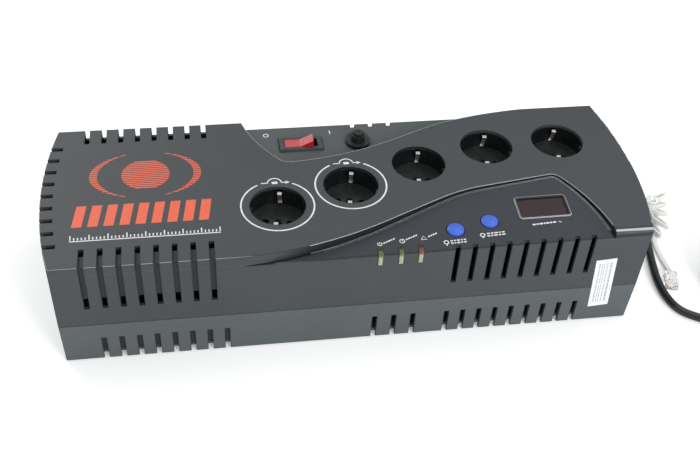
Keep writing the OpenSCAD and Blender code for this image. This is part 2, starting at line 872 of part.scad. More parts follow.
// Rocker: two flats that meet in a shallow valley, on two pivot pins, shown switched off
module switch_rocker() {
  half = rocker_travel / 2;
  reach = norm([rocker_l / 2, pivot_drop]);
  tip = atan2(pivot_drop, rocker_l / 2) + half;
  corner = reach * [cos(tip), sin(tip)];
  valley = pivot_drop / cos(half);
  color([0.85, 0.12, 0.1]) translate([switch_x, switch_y, pivot_z]) rotate([0, -half, 0]) {
    rotate([90, 0, 0]) linear_extrude(rocker_w, center = true)
      polygon([[0, valley], [-corner[0], corner[1]], [-rocker_waist, -rocker_foot / 4],
        [-rocker_foot, -rocker_foot], [rocker_foot, -rocker_foot],
        [rocker_waist, -rocker_foot / 4], corner]);
    rotate([90, 0, 0])
      cylinder(d = pivot_pin_d, h = rocker_w + 2 * pivot_pin_l, center = true);
  }
}
module switch_terminals() {
  z1 = recess_z - housing_deep - fit / 2;
  for (k = [-1:1])
    color([0.8, 0.72, 0.5]) translate([switch_x + k * blade_pitch, switch_y, 0])
      span([-blade_t / 2, -blade_w / 2, z1 - blade_l], [blade_t / 2, blade_w / 2, z1]);
}

// Breaker: box under the recess, threaded bush through it, ribbed ring nut, and a button
module breaker_body() {
  top = recess_z - wall - fit;
  color([0.12, 0.12, 0.13]) translate([breaker_x, breaker_y, 0]) difference() {
    union() {
      span([-breaker_box[0] / 2, -breaker_box[1] / 2, top - breaker_box[2]],
        [breaker_box[0] / 2, breaker_box[1] / 2, top]);
      translate([0, 0, top - fit]) cylinder(d = bush_d, h = recess_z + bush_h - top + fit);
    }
    translate([0, 0, recess_z + bush_h - breaker_bore_l])
      cylinder(d = breaker_button_d + 2 * slide, h = breaker_bore_l + over);
  }
}
module breaker_nut() {
  color([0.1, 0.1, 0.11]) translate([breaker_x, breaker_y, recess_z]) difference() {
    cylinder(d = nut_d, h = nut_h);
    translate([0, 0, -over]) cylinder(d = bush_d + fit, h = nut_h + 2 * over);
    for (k = [0:nut_ribs - 1]) rotate(k * 360 / nut_ribs)
      translate([nut_d / 2, 0, -nut_h / 4]) cylinder(d = nut_rib_d, h = nut_h, $fn = 24);
  }
}
module breaker_button() {
  top = recess_z + bush_h + breaker_button_h;
  color([0.13, 0.13, 0.14]) translate([breaker_x, breaker_y, 0]) difference() {
    translate([0, 0, top - breaker_bore_l * 0.75])
      cylinder(d = breaker_button_d, h = breaker_bore_l * 0.75);
    translate([0, 0, top - breaker_button_h / 4]) cylinder(d = breaker_button_d / 2, h = over);
  }
}
module breaker_terminals() {
  z1 = recess_z - wall - fit - breaker_box[2] - fit / 2;
  for (s = [-1, 1])
    color([0.8, 0.72, 0.5]) translate([breaker_x, breaker_y + s * breaker_box[1] / 4, 0])
      span([-blade_w / 2, -blade_t / 2, z1 - breaker_blade_l], [blade_w / 2, blade_t / 2, z1]);
}

// Push button on the panel: domed cap, flange under the panel and a stem to its key switch
module push_button(at) {
  low = -wall - slide;
  stem_low = -board_drop + key_h + plunger_up + slide;
  color([0.13, 0.25, 0.75]) on_panel() translate([at[0], at[1], 0]) {
    intersection() {
      translate([0, 0, low - fit]) cylinder(d = button_d, h = button_h - low + fit);
      translate([0, 0, button_h - button_dome]) sphere(r = button_dome);
    }
    translate([0, 0, low - button_flange_t])
      cylinder(d = button_d + 2 * slide + 2 * button_flange, h = button_flange_t);
    translate([0, 0, stem_low]) cylinder(d = stem_d, h = low - stem_low);
  }
}
module left_button() { push_button(left_button_at); }
module right_button() { push_button(right_button_at); }

// Plunger of a key switch, and the key switches on the control board
module plunger(at) {
  top = -board_drop + key_h + plunger_up;
  color([0.15, 0.15, 0.16]) on_panel()
    post(at, plunger_d, top - plunger_up - plunger_in, top);
}
module left_plunger() { plunger(left_button_at); }
module right_plunger() { plunger(right_button_at); }
module key_switches() {
  for (p = [left_button_at, right_button_at]) color([0.2, 0.2, 0.21]) on_panel() difference() {
    translate([p[0] - key_side / 2, p[1] - key_side / 2, -board_drop])
      cube([key_side, key_side, key_h]);
    post(p, plunger_d + 2 * slide, -board_drop + key_h - plunger_in - button_travel - fit, over);
  }
}

// Display window in the raised frame, and the display module behind it
module display_window() {
  l = display_l - 2 * display_wall - 2 * fit;
  w = display_w - 2 * display_wall - 2 * fit;
  color([0.25, 0.08, 0.09]) on_panel()
    translate([display_at[0] - l / 2, display_at[1] - w / 2, -window_sunk - window_t])
      cube([l, w, window_t]);
}
module display_module() {
  color([0.15, 0.15, 0.16]) on_panel()
    translate([display_at[0] - module_l / 2, display_at[1] - module_w / 2, -board_drop])
      cube([module_l, module_w, board_drop - window_sunk - window_t - fit]);
}

// Light pipes: a clear strip that wraps over the panel's front edge, with a stem to its lamp
module light_pipe(i) {
  x = pipe_x[i] - pipe_w / 2;
  lamp_y = front_y + board_y0 + lamp_d / 2 + fit;
  color([0.75, 0.8, 0.68]) {
    difference() {
      intersection() {
        span([x, front_y - pipe_proud, pipe_low_z], [x + pipe_w, front_y + pipe_run, case_h]);
        under_panel(pipe_proud);
      }
      intersection() {
        span([x - over, front_y + pipe_t, pipe_low_z - over],
          [x + pipe_w + over, front_y + pipe_run + over, case_h]);
        under_panel(-pipe_t);
      }
    }
    translate([x + pipe_w / 2, front_y + pipe_t - fit, pipe_low_z + pipe_stem_d])
      rotate([-90, 0, 0]) cylinder(d = pipe_stem_d, h = lamp_y - lamp_d - front_y - pipe_t);
  }
}
module light_pipe_1() { light_pipe(0); }
module light_pipe_2() { light_pipe(1); }
module light_pipe_3() { light_pipe(2); }

// Lamps on the control board, the board itself and its screws
module indicator_lamps() {
  for (x = pipe_x)
    color([0.5, 0.75, 0.4]) on_panel()
      post([x, board_y0 + lamp_d / 2 + fit], lamp_d, -board_drop,
        -board_drop + lamp_h);
}
module control_board() {
  color([0.12, 0.4, 0.22]) on_panel() difference() {
    span([board_x0, board_y0, -board_drop - board_t], [board_x1, board_y1, -board_drop]);
    for (p = board_post_at) post(p, board_screw_d + 2 * fit, -2 * board_drop, 0);
  }
}
module board_screws() {
  for (p = board_post_at) color([0.8, 0.8, 0.8]) on_panel() {
    post(p, board_head_d, -board_drop - board_t - board_head_h, -board_drop - board_t);
    post(p, board_screw_d, -board_drop - board_t, -board_drop + board_screw_l - fit);
  }
}

// Main board on its standoffs, with relays, capacitors, terminal block and supply transformer
main_top = main_z + main_t;
module main_board() {
  color([0.12, 0.4, 0.22]) span([main_x0, main_y0, main_z], [main_x1, main_y1, main_top]);
}
module relays() {
  for (k = [0:4])
    color([0.1, 0.25, 0.6]) translate([relay_x + k * relay_pitch, relay_y, main_top]) cube(relay);
}
module capacitors() {
  for (k = [0:2])
    color([0.15, 0.15, 0.3]) translate([cap_x + k * cap_pitch, cap_y, main_top]) difference() {
      cylinder(d = cap_d, h = cap_h);
      translate([0, 0, main_t]) difference() {
        cylinder(d = cap_d + fit, h = main_t / 2);
        cylinder(d = cap_d - main_t / 2, h = main_t / 2);
      }
    }
}
module terminal_block() {
  color([0.2, 0.45, 0.3]) translate([block_at[0], block_at[1], main_top]) difference() {
    cube(block);
    for (k = [0:5]) translate([(k + 0.5) * block[0] / 6, block[1] / 2, block[2] / 2])
      cylinder(d = block[1] / 4, h = block[2]);
  }
}
module supply_transformer() {
  color([0.3, 0.3, 0.32]) translate([supply_at[0], supply_at[1], main_top]) {
    cube([supply[0], supply[1], supply[2] / 2]);
    translate([0, supply[1] / 4, 0]) cube([supply[0], supply[1] / 2, supply[2]]);
  }
}

// Autotransformer: laminated core with two windows, winding round the middle leg, steel frame
core_low = floor_top;
function frame_screw_x() = [for (s = [-1, 1])
  core_at[0] + s * (core[0] / 2 + fit + frame_t + frame_foot / 2)];
function frame_screw_y() = core[1] / 4;
module transformer_core() {
  window = [(core[0] - core_leg) / 2 - core_yoke, core[2] - 2 * core_yoke];
  color([0.45, 0.46, 0.48]) translate([core_at[0], core_at[1], core_low]) difference() {
    translate([-core[0] / 2, -core[1] / 2, 0]) cube(core);
    for (s = [-1, 1]) translate([s * (core_leg + window[0]) / 2, 0, core[2] / 2])
      cube([window[0], core[1] + 2 * over, window[1]], center = true);
  }
}
module transformer_winding() {
  window = (core[0] - core_leg) / 2 - core_yoke;
  high = core[2] - 2 * core_yoke - 2 * winding_gap;
  color([0.8, 0.72, 0.45]) translate([core_at[0], core_at[1], core_low + core_yoke + winding_gap])
    difference() {
      soft_plate(core_leg + 2 * window - 2 * winding_gap, core[1] + 2 * winding_out, high,
        winding_out / 2);
      translate([0, 0, high / 2])
        cube([core_leg + 2 * slide, core[1] + 2 * slide, high + 2 * over], center = true);
    }
}
module transformer_frame() {
  in = core[0] / 2 + fit;
  out = in + frame_t;
  y = core[1] * 0.3;
  color([0.72, 0.73, 0.75]) translate([core_at[0], core_at[1], core_low]) difference() {
    union() {
      for (s = [0, 1]) mirror([s, 0, 0]) {
        span([in, -y, 0], [out, y, core[2] + fit + frame_t]);
        span([in, -y, 0], [out + frame_foot, y, frame_t]);
      }
      span([-out, -y, core[2] + fit], [out, y, core[2] + fit + frame_t]);
    }
    for (x = frame_screw_x(), s = [-1, 1])
      post([x - core_at[0], s * frame_screw_y()], frame_screw_d + 2 * fit, -over, over);
  }
}
module transformer_screws() {
  for (x = frame_screw_x(), s = [-1, 1]) {
    at = [x, s * frame_screw_y()];
    nut = floor_top + frame_t;
    color([0.8, 0.8, 0.8]) {
      post(at, frame_screw_d, floor_z, nut + frame_nut_h + frame_screw_up / 2);
      post(at, 1.8 * frame_screw_d, floor_z - frame_head_h, floor_z);
      translate([at[0], at[1], nut]) cylinder(d = 2 * frame_screw_d, h = frame_nut_h, $fn = 6);
    }
  }
}

// Rubber feet under the tray's floor
module rubber_feet() {
  for (sx = [-1, 1], sy = [-1, 1])
    color([0.1, 0.1, 0.1])
      translate([sx * foot_x_share * case_l, sy * foot_y_share * case_w, 0]) difference() {
        cylinder(d1 = foot_d - foot_dish, d2 = foot_d, h = floor_z);
        translate([0, 0, -over]) cylinder(d = foot_dish_d, h = over + foot_dish);
      }
}

// Case screws, up through the tray's wells into the cover's posts
module case_screws() {
  seat = split_z - case_screw_l / 2;
  for (p = post_places()) color([0.75, 0.75, 0.77]) {
    post(p, case_head_d, seat - case_head_h, seat);
    post(p, case_screw_d, seat, seat + case_screw_l - fit);
  }
}

// Strain relief: flange outside the end wall, neck through it, ribbed sleeve that tapers
module strain_relief() {
  color([0.09, 0.09, 0.1]) translate([relief_x, relief_y, relief_z]) rotate([0, 90, 0]) {
    translate([0, 0, -2 * wall]) cylinder(d = relief_neck_d, h = 2 * wall + fit + relief_flange_t);
    translate([0, 0, fit]) cylinder(d = relief_flange_d, h = relief_flange_t);
    cylinder(d1 = relief_d, d2 = relief_tip_d, h = relief_l);
    for (k = [1:relief_ribs])
      translate([0, 0, relief_flange_t + (relief_l - relief_flange_t) * k / (relief_ribs + 1)])
        rotate_extrude() translate([relief_tip_d / 2, 0])
          square([(relief_d - relief_tip_d) / 2 * (1 - k / (relief_ribs + 1)) + relief_rib,
            relief_rib]);
  }
}

// Routes of the leads
function unit(v) = v / norm(v);
function knot(p, i) =
  i < 0 ? 2 * p[0] - p[1] : i >= len(p) ? 2 * p[len(p) - 1] - p[len(p) - 2] : p[i];
function eased(a, b, c, d, t) =
  (2 * b + (c - a) * t + (2 * a - 5 * b + 4 * c - d) * t * t
    + (3 * b - a - 3 * c + d) * t * t * t) / 2;
function route(p, n) = concat(
  [for (i = [0:len(p) - 2]) for (k = [0:n - 1])
    eased(knot(p, i - 1), knot(p, i), knot(p, i + 1), knot(p, i + 2), k / n)],
  [p[len(p) - 1]]);
function clamp(t) = max(0, min(1, t));
function smooth(t) = clamp(t) * clamp(t) * (3 - 2 * clamp(t));

// Coil: in and out again at a steady rate, one layer higher at each turning back
function coil_wave(t) = let (n = floor(t / coil_turns), u = t - n * coil_turns)
  n % 2 == 0 ? u : coil_turns - u;
function coil_climb(t, k) =
  k >= coil_layers ? 0 : clamp((t - k * coil_turns + climb_half) / (2 * climb_half))
    + coil_climb(t, k + 1);
function coil_point(t) = let (r = coil_out - coil_pitch * coil_wave(t), a = coil_start + 360 * t)
  coil_at + [r * cos(a), r * sin(a), coil_pitch * coil_climb(t, 1)];
coil_whole = coil_layers * coil_turns;
coil_steps = round(coil_whole * coil_rings);
coil_mid = [for (k = [0:coil_steps]) coil_point(min(coil_whole * k / coil_steps, coil_whole - 1e-6))];
function coil_out_dir(s) = let (a = coil_start + (s > 0 ? 360 * coil_whole : 0))
  s * [-sin(a), cos(a), 0];
coil_line = concat([coil_mid[0] + mains_d * coil_out_dir(-1)], coil_mid,
  [coil_mid[coil_steps] + mains_d * coil_out_dir(1)]);
coil_last = coil_line[len(coil_line) - 1];

// Hank: loops that fan out to the right of the tie and lie together to the left of it
function hank_point(t) =
  let (c = cos(360 * t), s = sin(360 * t), k = round(t),
    x = c > 0 ? hank_right * hank_right_shares[k] * c : hank_left * c,
    y = -(hank_waist + hank_belly * 4 * c * c * (1 - c * c)) * s,
    g = hank_turn + hank_swing[k] * smooth((x - swing_from) / swing_reach))
  hank_at + [x * cos(g) - y * sin(g), x * sin(g) + y * cos(g), hank_step * (t - hank_from)];
hank_steps = round((hank_to - hank_from) * hank_rings);
hank_mid = [for (k = [0:hank_steps]) hank_point(hank_from + (hank_to - hank_from) * k / hank_steps)];
hank_dir = [-cos(hank_turn), -sin(hank_turn), 0];
hank_line = concat([hank_mid[0] - phone_d * hank_dir], hank_mid,
  [hank_mid[hank_steps] + phone_d * hank_dir]);
hank_last = hank_line[len(hank_line) - 1];

// Least gap between turns, measured on the points a half turn or more apart
function least_gap(p, d, far) = min([for (i = [0:len(p) - 1]) for (j = [i + far:1:len(p) - 1])
  norm(p[i] - p[j]) - d]);
echo(coil_gap = least_gap(coil_mid, mains_d, coil_rings / 2));
echo(hank_gap = least_gap(hank_mid, phone_d, hank_rings / 3));

// Whole routes of the free stretches
relief_tip = [relief_x + relief_l, relief_y, relief_z];
mains_line = route(concat([relief_tip], mains_path,
  [coil_line[0] + mains_d * coil_out_dir(-1), coil_line[0]]), lead_steps);
plug_line = route(concat([coil_last, coil_last + mains_d * coil_out_dir(1)], mains_tail_path,
  [plug_at - [0, mains_d / 2, 0], plug_at]), lead_steps);
feed_from = [jack_x + plug_l - plug_in, port_y, jack_z];
feed_line = route(concat([feed_from, feed_from + [phone_d, 0, 0]], feed_path,
  [hank_last + 2 * phone_d * hank_dir, hank_last]), lead_steps);
phone_line = route(concat([hank_line[0], hank_line[0] - phone_d * hank_dir], phone_path,
  [free_plug_at + phone_d * [-sin(free_turn), cos(free_turn), 0], free_plug_at]), lead_steps);

// Tube along a list of places
function run_dir(p, i) = i == 0 ? unit(p[1] - p[0])
  : i == len(p) - 1 ? unit(p[i] - p[i - 1])
  : unit(unit(p[i + 1] - p[i]) + unit(p[i] - p[i - 1]));
module tube(p, d, n) {
  rings = len(p);
  pts = [for (i = [0:rings - 1])
    let (t = run_dir(p, i), u = unit(cross(t, [0, 0, 1])), v = cross(u, t))
    for (k = [0:n - 1]) p[i] + d / 2 * (cos(360 * k / n) * u + sin(360 * k / n) * v)];
  side = [for (i = [0:rings - 2]) for (k = [0:n - 1])
    let (a = i * n + k, b = i * n + (k + 1) % n) for (f = [[a, b, b + n], [a, b + n, a + n]]) f];
  start = [for (k = [1:n - 2]) [0, k + 1, k]];
  end = [for (k = [1:n - 2]) [(rings - 1) * n, (rings - 1) * n + k, (rings - 1) * n + k + 1]];
  polyhedron(pts, concat(side, start, end));
}
module mains_lead() { color([0.07, 0.07, 0.08]) tube(mains_line, mains_d, lead_sides); }
module mains_coil() { color([0.07, 0.07, 0.08]) tube(coil_line, mains_d, coil_sides); }
module mains_tail() { color([0.07, 0.07, 0.08]) tube(plug_line, mains_d, lead_sides); }
module phone_feed() { color([0.93, 0.93, 0.9]) tube(feed_line, phone_d, phone_sides); }
module phone_hank() { color([0.93, 0.93, 0.9]) tube(hank_line, phone_d, coil_sides); }
module phone_tail() { color([0.93, 0.93, 0.9]) tube(phone_line, phone_d, phone_sides); }

// Tie round the hank's waist
module hank_tie() {
  y = hank_waist + phone_d / 2 + slide;
  z0 = -phone_d / 2 - slide;
  z1 = hank_step * (hank_to - hank_from) + phone_d / 2 + slide;
  color([0.9, 0.9, 0.88]) translate(hank_at) rotate(hank_turn) difference() {
    span([-tie_w / 2, -y - tie_t, z0 - tie_t / 2], [tie_w / 2, y + tie_t, z1 + tie_t]);
    span([-tie_w, -y, z0], [tie_w, y, z1]);
  }
}

// Earthed plug: neck, grip, disc with two notches, and two pins
module mains_plug() {
  face = plug_neck_l + plug_waist_l + plug_disc_l;
  color([0.08, 0.08, 0.09]) translate(plug_at) rotate([-90, 0, 0]) {
    difference() {
      union() {
        cylinder(d1 = plug_neck_d, d2 = plug_waist_d * 0.7, h = plug_neck_l);
        translate([0, 0, plug_neck_l])
          cylinder(d1 = plug_waist_d * 0.9, d2 = plug_waist_d, h = plug_waist_l);
        translate([0, 0, plug_neck_l + plug_waist_l]) cylinder(d = plug_disc_d, h = plug_disc_l);
      }
      for (s = [-1, 1]) {
        translate([0, s * plug_disc_d / 2, face])
          cube([plug_notch_w, 2 * plug_notch_d, 2 * plug_disc_l - plug_notch_d], center = true);
      }
    }
    for (s = [-1, 1]) translate([s * pin_pitch / 2, 0, face - fit]) {
      cylinder(d = plug_pin_d, h = plug_pin_l - plug_pin_d / 4);
      translate([0, 0, plug_pin_l - plug_pin_d / 4 - fit])
        cylinder(d1 = plug_pin_d, d2 = plug_pin_d / 2, h = plug_pin_d / 4);
    }
  }
}

// Telephone jack block with two ports, and the modular plugs
latch_low = -plug_h / 2 - latch_t - 3 * latch_drop;
module phone_jack() {
  color([0.1, 0.1, 0.11]) translate([jack_x, jack_y, jack_z]) difference() {
    span([-jack_deep, -jack_l / 2, -jack_h / 2], [0, jack_l / 2, jack_h / 2]);
    for (s = [-1, 1]) translate([0, s * port_pitch / 2, 0]) {
      span([-port_deep, -port_w / 2, -port_h / 2], [over, port_w / 2, port_h / 2]);
      span([-port_deep, -latch_w / 2 - slide, latch_low - slide],
        [over, latch_w / 2 + slide, 0]);
    }
  }
}
module modular_plug() {
  rear = 0.75 * plug_l;
  difference() {
    span([0, -plug_w / 2, -plug_h / 2], [plug_l, plug_w / 2, plug_h / 2]);
    for (k = [-1.5:1:1.5]) translate([-over, k * 4 * gold_w - gold_w / 2, plug_h / 4])
      cube([over + plug_l / 4, gold_w, plug_h]);
    translate([plug_l * 0.4, -plug_w / 4, plug_h / 4]) cube([plug_l / 5, plug_w / 2, plug_h]);
  }
  rotate([90, 0, 0]) linear_extrude(latch_w, center = true)
    polygon([[latch_t, -plug_h / 2], [latch_t, -plug_h / 2 - latch_t],
      [rear, latch_low], [rear, latch_low + latch_t],
      [3 * latch_t, -plug_h / 2 - latch_drop - latch_t / 4], [3 * latch_t, -plug_h / 2]]);
}
module phone_plug_in() {
  color([0.85, 0.88, 0.9, 0.7])
    translate([jack_x - plug_in, port_y, jack_z]) modular_plug();
}
module phone_plug() {
  color([0.85, 0.88, 0.9, 0.7])
    translate(free_plug_at) rotate(90 + free_turn) rotate([180, 0, 0]) translate([-plug_l, 0, 0])
      modular_plug();
}

top_cover();
bottom_tray();
vent_guard();
tray_guard();
socket_insert_1();
socket_insert_2();
socket_insert_3();
socket_insert_4();
socket_insert_5();
earth_clip_1();
earth_clip_2();
earth_clip_3();
earth_clip_4();
earth_clip_5();
socket_screws();
live_contacts();
neutral_contacts();
switch_housing();
switch_rocker();
switch_terminals();
breaker_body();
breaker_nut();
breaker_button();
breaker_terminals();
left_button();
right_button();
left_plunger();
right_plunger();
key_switches();
display_window();
display_module();
light_pipe_1();
light_pipe_2();
light_pipe_3();
indicator_lamps();
control_board();
board_screws();
main_board();
relays();
capacitors();
terminal_block();
supply_transformer();
transformer_core();
transformer_winding();
transformer_frame();
transformer_screws();
rubber_feet();
case_screws();
strain_relief();
mains_lead();
mains_coil();
mains_tail();
mains_plug();
phone_jack();
phone_plug_in();
phone_feed();
phone_hank();
hank_tie();
phone_tail();
phone_plug();
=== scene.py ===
"""A desktop voltage stabilizer in a long matte case, with its mains and telephone leads.

Metres, in the part's own frame: x along the case to the right, y to the rear, z up from the table.
Sizes are written in millimetres and turned to metres where a mesh is made.
"""

from math import cos, floor, pi, radians, sin, sqrt

import bmesh
import bpy
from mathutils import Matrix, Vector


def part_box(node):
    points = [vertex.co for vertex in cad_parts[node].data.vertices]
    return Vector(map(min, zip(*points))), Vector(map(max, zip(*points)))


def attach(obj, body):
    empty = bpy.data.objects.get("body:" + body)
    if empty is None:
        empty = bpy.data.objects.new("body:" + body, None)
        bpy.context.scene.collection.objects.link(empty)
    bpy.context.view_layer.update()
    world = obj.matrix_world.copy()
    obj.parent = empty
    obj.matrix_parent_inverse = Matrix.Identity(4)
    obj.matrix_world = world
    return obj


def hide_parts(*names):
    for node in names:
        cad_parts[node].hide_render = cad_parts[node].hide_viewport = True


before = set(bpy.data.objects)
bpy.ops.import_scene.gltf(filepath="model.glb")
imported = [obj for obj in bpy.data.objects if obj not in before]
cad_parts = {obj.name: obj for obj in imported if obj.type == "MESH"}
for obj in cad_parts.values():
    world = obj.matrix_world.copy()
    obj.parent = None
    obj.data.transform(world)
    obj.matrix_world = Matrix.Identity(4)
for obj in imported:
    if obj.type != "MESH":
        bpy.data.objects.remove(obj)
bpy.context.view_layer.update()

# Camera: the picture was taken from the front left and well above the case, through a lens
# that is a little longer than normal. Place and tilt come from the case's own corners.
camera_at = (-0.11389, -0.60340, 0.62370)
camera_yaw, camera_pitch, camera_roll = 0.1946, 0.7594, 0.0684
camera_lens = 52.82

ahead = Vector((sin(camera_yaw) * cos(camera_pitch), cos(camera_yaw) * cos(camera_pitch),
                -sin(camera_pitch)))
level = Vector((cos(camera_yaw), -sin(camera_yaw), 0))
above = level.cross(ahead)
side = cos(camera_roll) * level + sin(camera_roll) * above
top = cos(camera_roll) * above - sin(camera_roll) * level
camera_data = bpy.data.cameras.new("camera")
camera_data.sensor_width = 36
camera_data.lens = camera_lens
camera_data.clip_start = 0.01
camera = bpy.data.objects.new("camera", camera_data)
camera.matrix_world = Matrix.Translation(camera_at) @ Matrix((side, top, -ahead)).transposed().to_4x4()
bpy.context.scene.collection.objects.link(camera)
bpy.context.scene.camera = camera

# Mains lead: three cores in a round black PVC sheath, 7 mm thick and 1.5 m long. It leaves the
# right end through a strain relief, runs forward past the case and then out to the right, and
# the rest of it lies in a neat coil, whose end rises to the plug lying beside it.
mains_d = 7.0
case_l, case_w, case_h, end_bulge = 450.0, 158.0, 100.0, 9.3
end_r = ((case_w / 2) ** 2 + end_bulge ** 2) / (2 * end_bulge)
end_c = case_l / 2 + end_bulge - end_r
relief_y, relief_z, relief_l = 22.0, 11.0, 20.0
# the visible part of the route, then the coil: its middle, its outer turn, and its layers
mains_path = [(262, 21.5, 10), (269, 17.5, 7.5), (273.5, 10, 5), (274.5, 1, 3.7),
              (272, -9.5, 3.7), (268.6, -27, 3.7), (266.2, -45, 3.7), (266.8, -63, 3.7),
              (272.5, -79, 3.7), (286.3, -89.8, 3.7), (302, -96, 3.7), (320, -99.5, 3.7)]
coil_at = Vector((352, -58, 3.7))
coil_out, coil_pitch, coil_layers, coil_turns = 42.5, 7.45, 4, 1.3125
coil_start, climb_half = -90.0, 0.25
route_steps, turn_steps = 6, 48
mains_tail_path = [(396, -34, 24), (397.4, -22, 21.2)]
plug_at = Vector((398, -8, 20))


def end_at(y):
    """How far the bowed end lies from the middle of the case, at a place across it."""
    return end_c + sqrt(end_r * end_r - y * y)


def smooth_route(places):
    """The lead's middle line: an even curve through its places."""
    p = [Vector(q) for q in places]
    p = [2 * p[0] - p[1]] + p + [2 * p[-1] - p[-2]]
    line = []
    for i in range(1, len(p) - 2):
        a, b, c, d = p[i - 1:i + 3]
        for k in range(route_steps):
            t = k / route_steps
            line.append((2 * b + (c - a) * t + (2 * a - 5 * b + 4 * c - d) * t ** 2
                         + (3 * b - a - 3 * c + d) * t ** 3) / 2)
    return line + [p[-2]]


def clamped(t):
    return max(0.0, min(1.0, t))


def coil_point(t):
    """A place on the coil: in and out again by turns, one layer higher at each turning back."""
    n = floor(t / coil_turns)
    u = t - n * coil_turns
    r = coil_out - coil_pitch * (u if n % 2 == 0 else coil_turns - u)
    climb = sum(clamped((t - k * coil_turns + climb_half) / (2 * climb_half))
                for k in range(1, coil_layers))
    a = radians(coil_start + 360 * t)
    return coil_at + Vector((r * cos(a), r * sin(a), coil_pitch * climb))


def way_at(t):
    """The way the coil runs at a place on it."""
    a = radians(coil_start + 360 * t)
    return Vector((-sin(a), cos(a), 0))


def metres(line):
    return [Vector(p) * 0.001 for p in line]


coil_whole = coil_layers * coil_turns
coil_count = round(coil_whole * turn_steps)
# the last place lies a hair before the turning back, so it still counts to the last layer
coil_end = coil_whole - 1e-6
coil_line = [coil_point(min(coil_whole * k / coil_count, coil_end)) for k in range(coil_count + 1)]
coil_line = ([coil_line[0] - mains_d * way_at(0)] + coil_line
             + [coil_line[-1] + mains_d * way_at(coil_whole)])
relief_tip = Vector((end_at(relief_y) + relief_l, relief_y, relief_z))
mains_line = smooth_route([relief_tip] + mains_path
                          + [coil_line[0] - mains_d * way_at(0), coil_line[0]])
plug_line = smooth_route([coil_line[-1], coil_line[-1] + mains_d * way_at(coil_whole)]
                         + mains_tail_path + [plug_at - Vector((0, mains_d / 2, 0)), plug_at])
mains_whole = metres(mains_line[:-1] + coil_line[:-1] + plug_line)


def round_lead(name, line, d):
    """A lead of round section as a curve along its middle line."""
    curve = bpy.data.curves.new(name, "CURVE")
    curve.dimensions = "3D"
    curve.bevel_depth = d / 2
    curve.bevel_resolution = 5
    curve.use_fill_caps = True
    spline = curve.splines.new("POLY")
    spline.points.add(len(line) - 1)
    for point, p in zip(spline.points, line):
        point.co = (*p, 1)
    spline.use_smooth = True
    lead = bpy.data.objects.new(name, curve)
    bpy.context.scene.collection.objects.link(lead)
    return lead


def shade(hexes):
    """A colour written as sRGB hex, as the linear values that a shader takes."""
    parts = [int(hexes[k:k + 2], 16) / 255 for k in (1, 3, 5)]
    return tuple(c / 12.92 if c <= 0.04045 else ((c + 0.055) / 1.055) ** 2.4 for c in parts) + (1.0,)


def feed(tree, node, links):
    """Gives each of a node's sockets a value, or joins another node's output to it."""
    for key, value in links.items():
        if isinstance(value, bpy.types.NodeSocket):
            tree.links.new(value, node.inputs[key])
        else:
            node.inputs[key].default_value = value


def add(tree, kind, settings, links):
    """One node in a material, with its own settings, and what its sockets are fed."""
    made = tree.nodes.new(kind)
    for key, value in settings.items():
        setattr(made, key, value)
    feed(tree, made, links)
    return made


def started(name):
    """A new material with its surface shader and the object's own coordinates."""
    material = bpy.data.materials.new(name)
    material.use_nodes = True
    tree = material.node_tree
    surface = tree.nodes["Principled BSDF"]
    place = add(tree, "ShaderNodeTexCoord", {}, {}).outputs["Object"]
    return material, tree, surface, place


def flexible_pvc(name, colour, scuffed, gloss_low=0.2, gloss_high=0.32):
    """Flexible PVC sheath, extruded: smooth and shiny, faintly wavy where it was coiled."""
    material, tree, surface, place = started(name)
    waves = add(tree, "ShaderNodeTexNoise", {}, {"Vector": place, "Scale": 1 / 0.012, "Detail": 2.0})
    scuffs = add(tree, "ShaderNodeTexNoise", {}, {"Vector": place, "Scale": 1 / 0.003, "Detail": 4.0})
    tint = add(tree, "ShaderNodeMix", {"data_type": "RGBA"},
               {"Factor": scuffs.outputs["Fac"], 6: shade(colour), 7: shade(scuffed)})
    gloss_and_painted_band = add(tree, "ShaderNodeMapRange", {}, {"Value": scuffs.outputs["Fac"], "From Min": 0.3,
                                                 "From Max": 0.7, "To Min": gloss_low,
                                                 "To Max": gloss_high})
    bump = add(tree, "ShaderNodeBump", {}, {"Height": waves.outputs["Fac"], "Strength": 0.2,
                                            "Distance": 0.0004})
    feed(tree, surface, {"Base Color": tint.outputs[2], "Roughness": gloss_and_painted_band.outputs["Result"],
                         "Normal": bump.outputs["Normal"]})
    return material


def settle(piece, material):
    """Gives a piece of the scene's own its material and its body."""
    piece.data.materials.append(material)
    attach(piece, "case")


def finish_nodes(material, *names):
    """Gives pieces carried over from the CAD their material."""
    for name in names:
        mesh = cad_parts[name].data
        if not mesh.materials:
            mesh.materials.append(material)
        for k in range(len(mesh.materials)):
            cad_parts[name].material_slots[k].material = material


mains = round_lead("mains_cable", mains_whole, mains_d * 0.001)
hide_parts("mains_lead", "mains_coil", "mains_tail")
settle(mains, flexible_pvc("black_pvc_sheath", "#17191B", "#232629", 0.12, 0.2))

# Telephone lead: a flat white lead, about 0.6 m of it, supplied tied in a small hank. One end is
# plugged into the case, and the other, with its own clear plug, lies free on the table.
phone_w, phone_t, phone_sides = 4.8, 2.3, 16
round_side, round_face = 0.55, 0.8
lead_in = 3.2

# the jack's port that the lead is plugged into
jack_y, jack_z, port_pitch, jack_rear_y = 47.0, 26.0, 15.0, 63
plug_l, plug_in = 16.5, 8.0
jack_x = end_at(jack_rear_y)
port_y = jack_y - port_pitch / 2

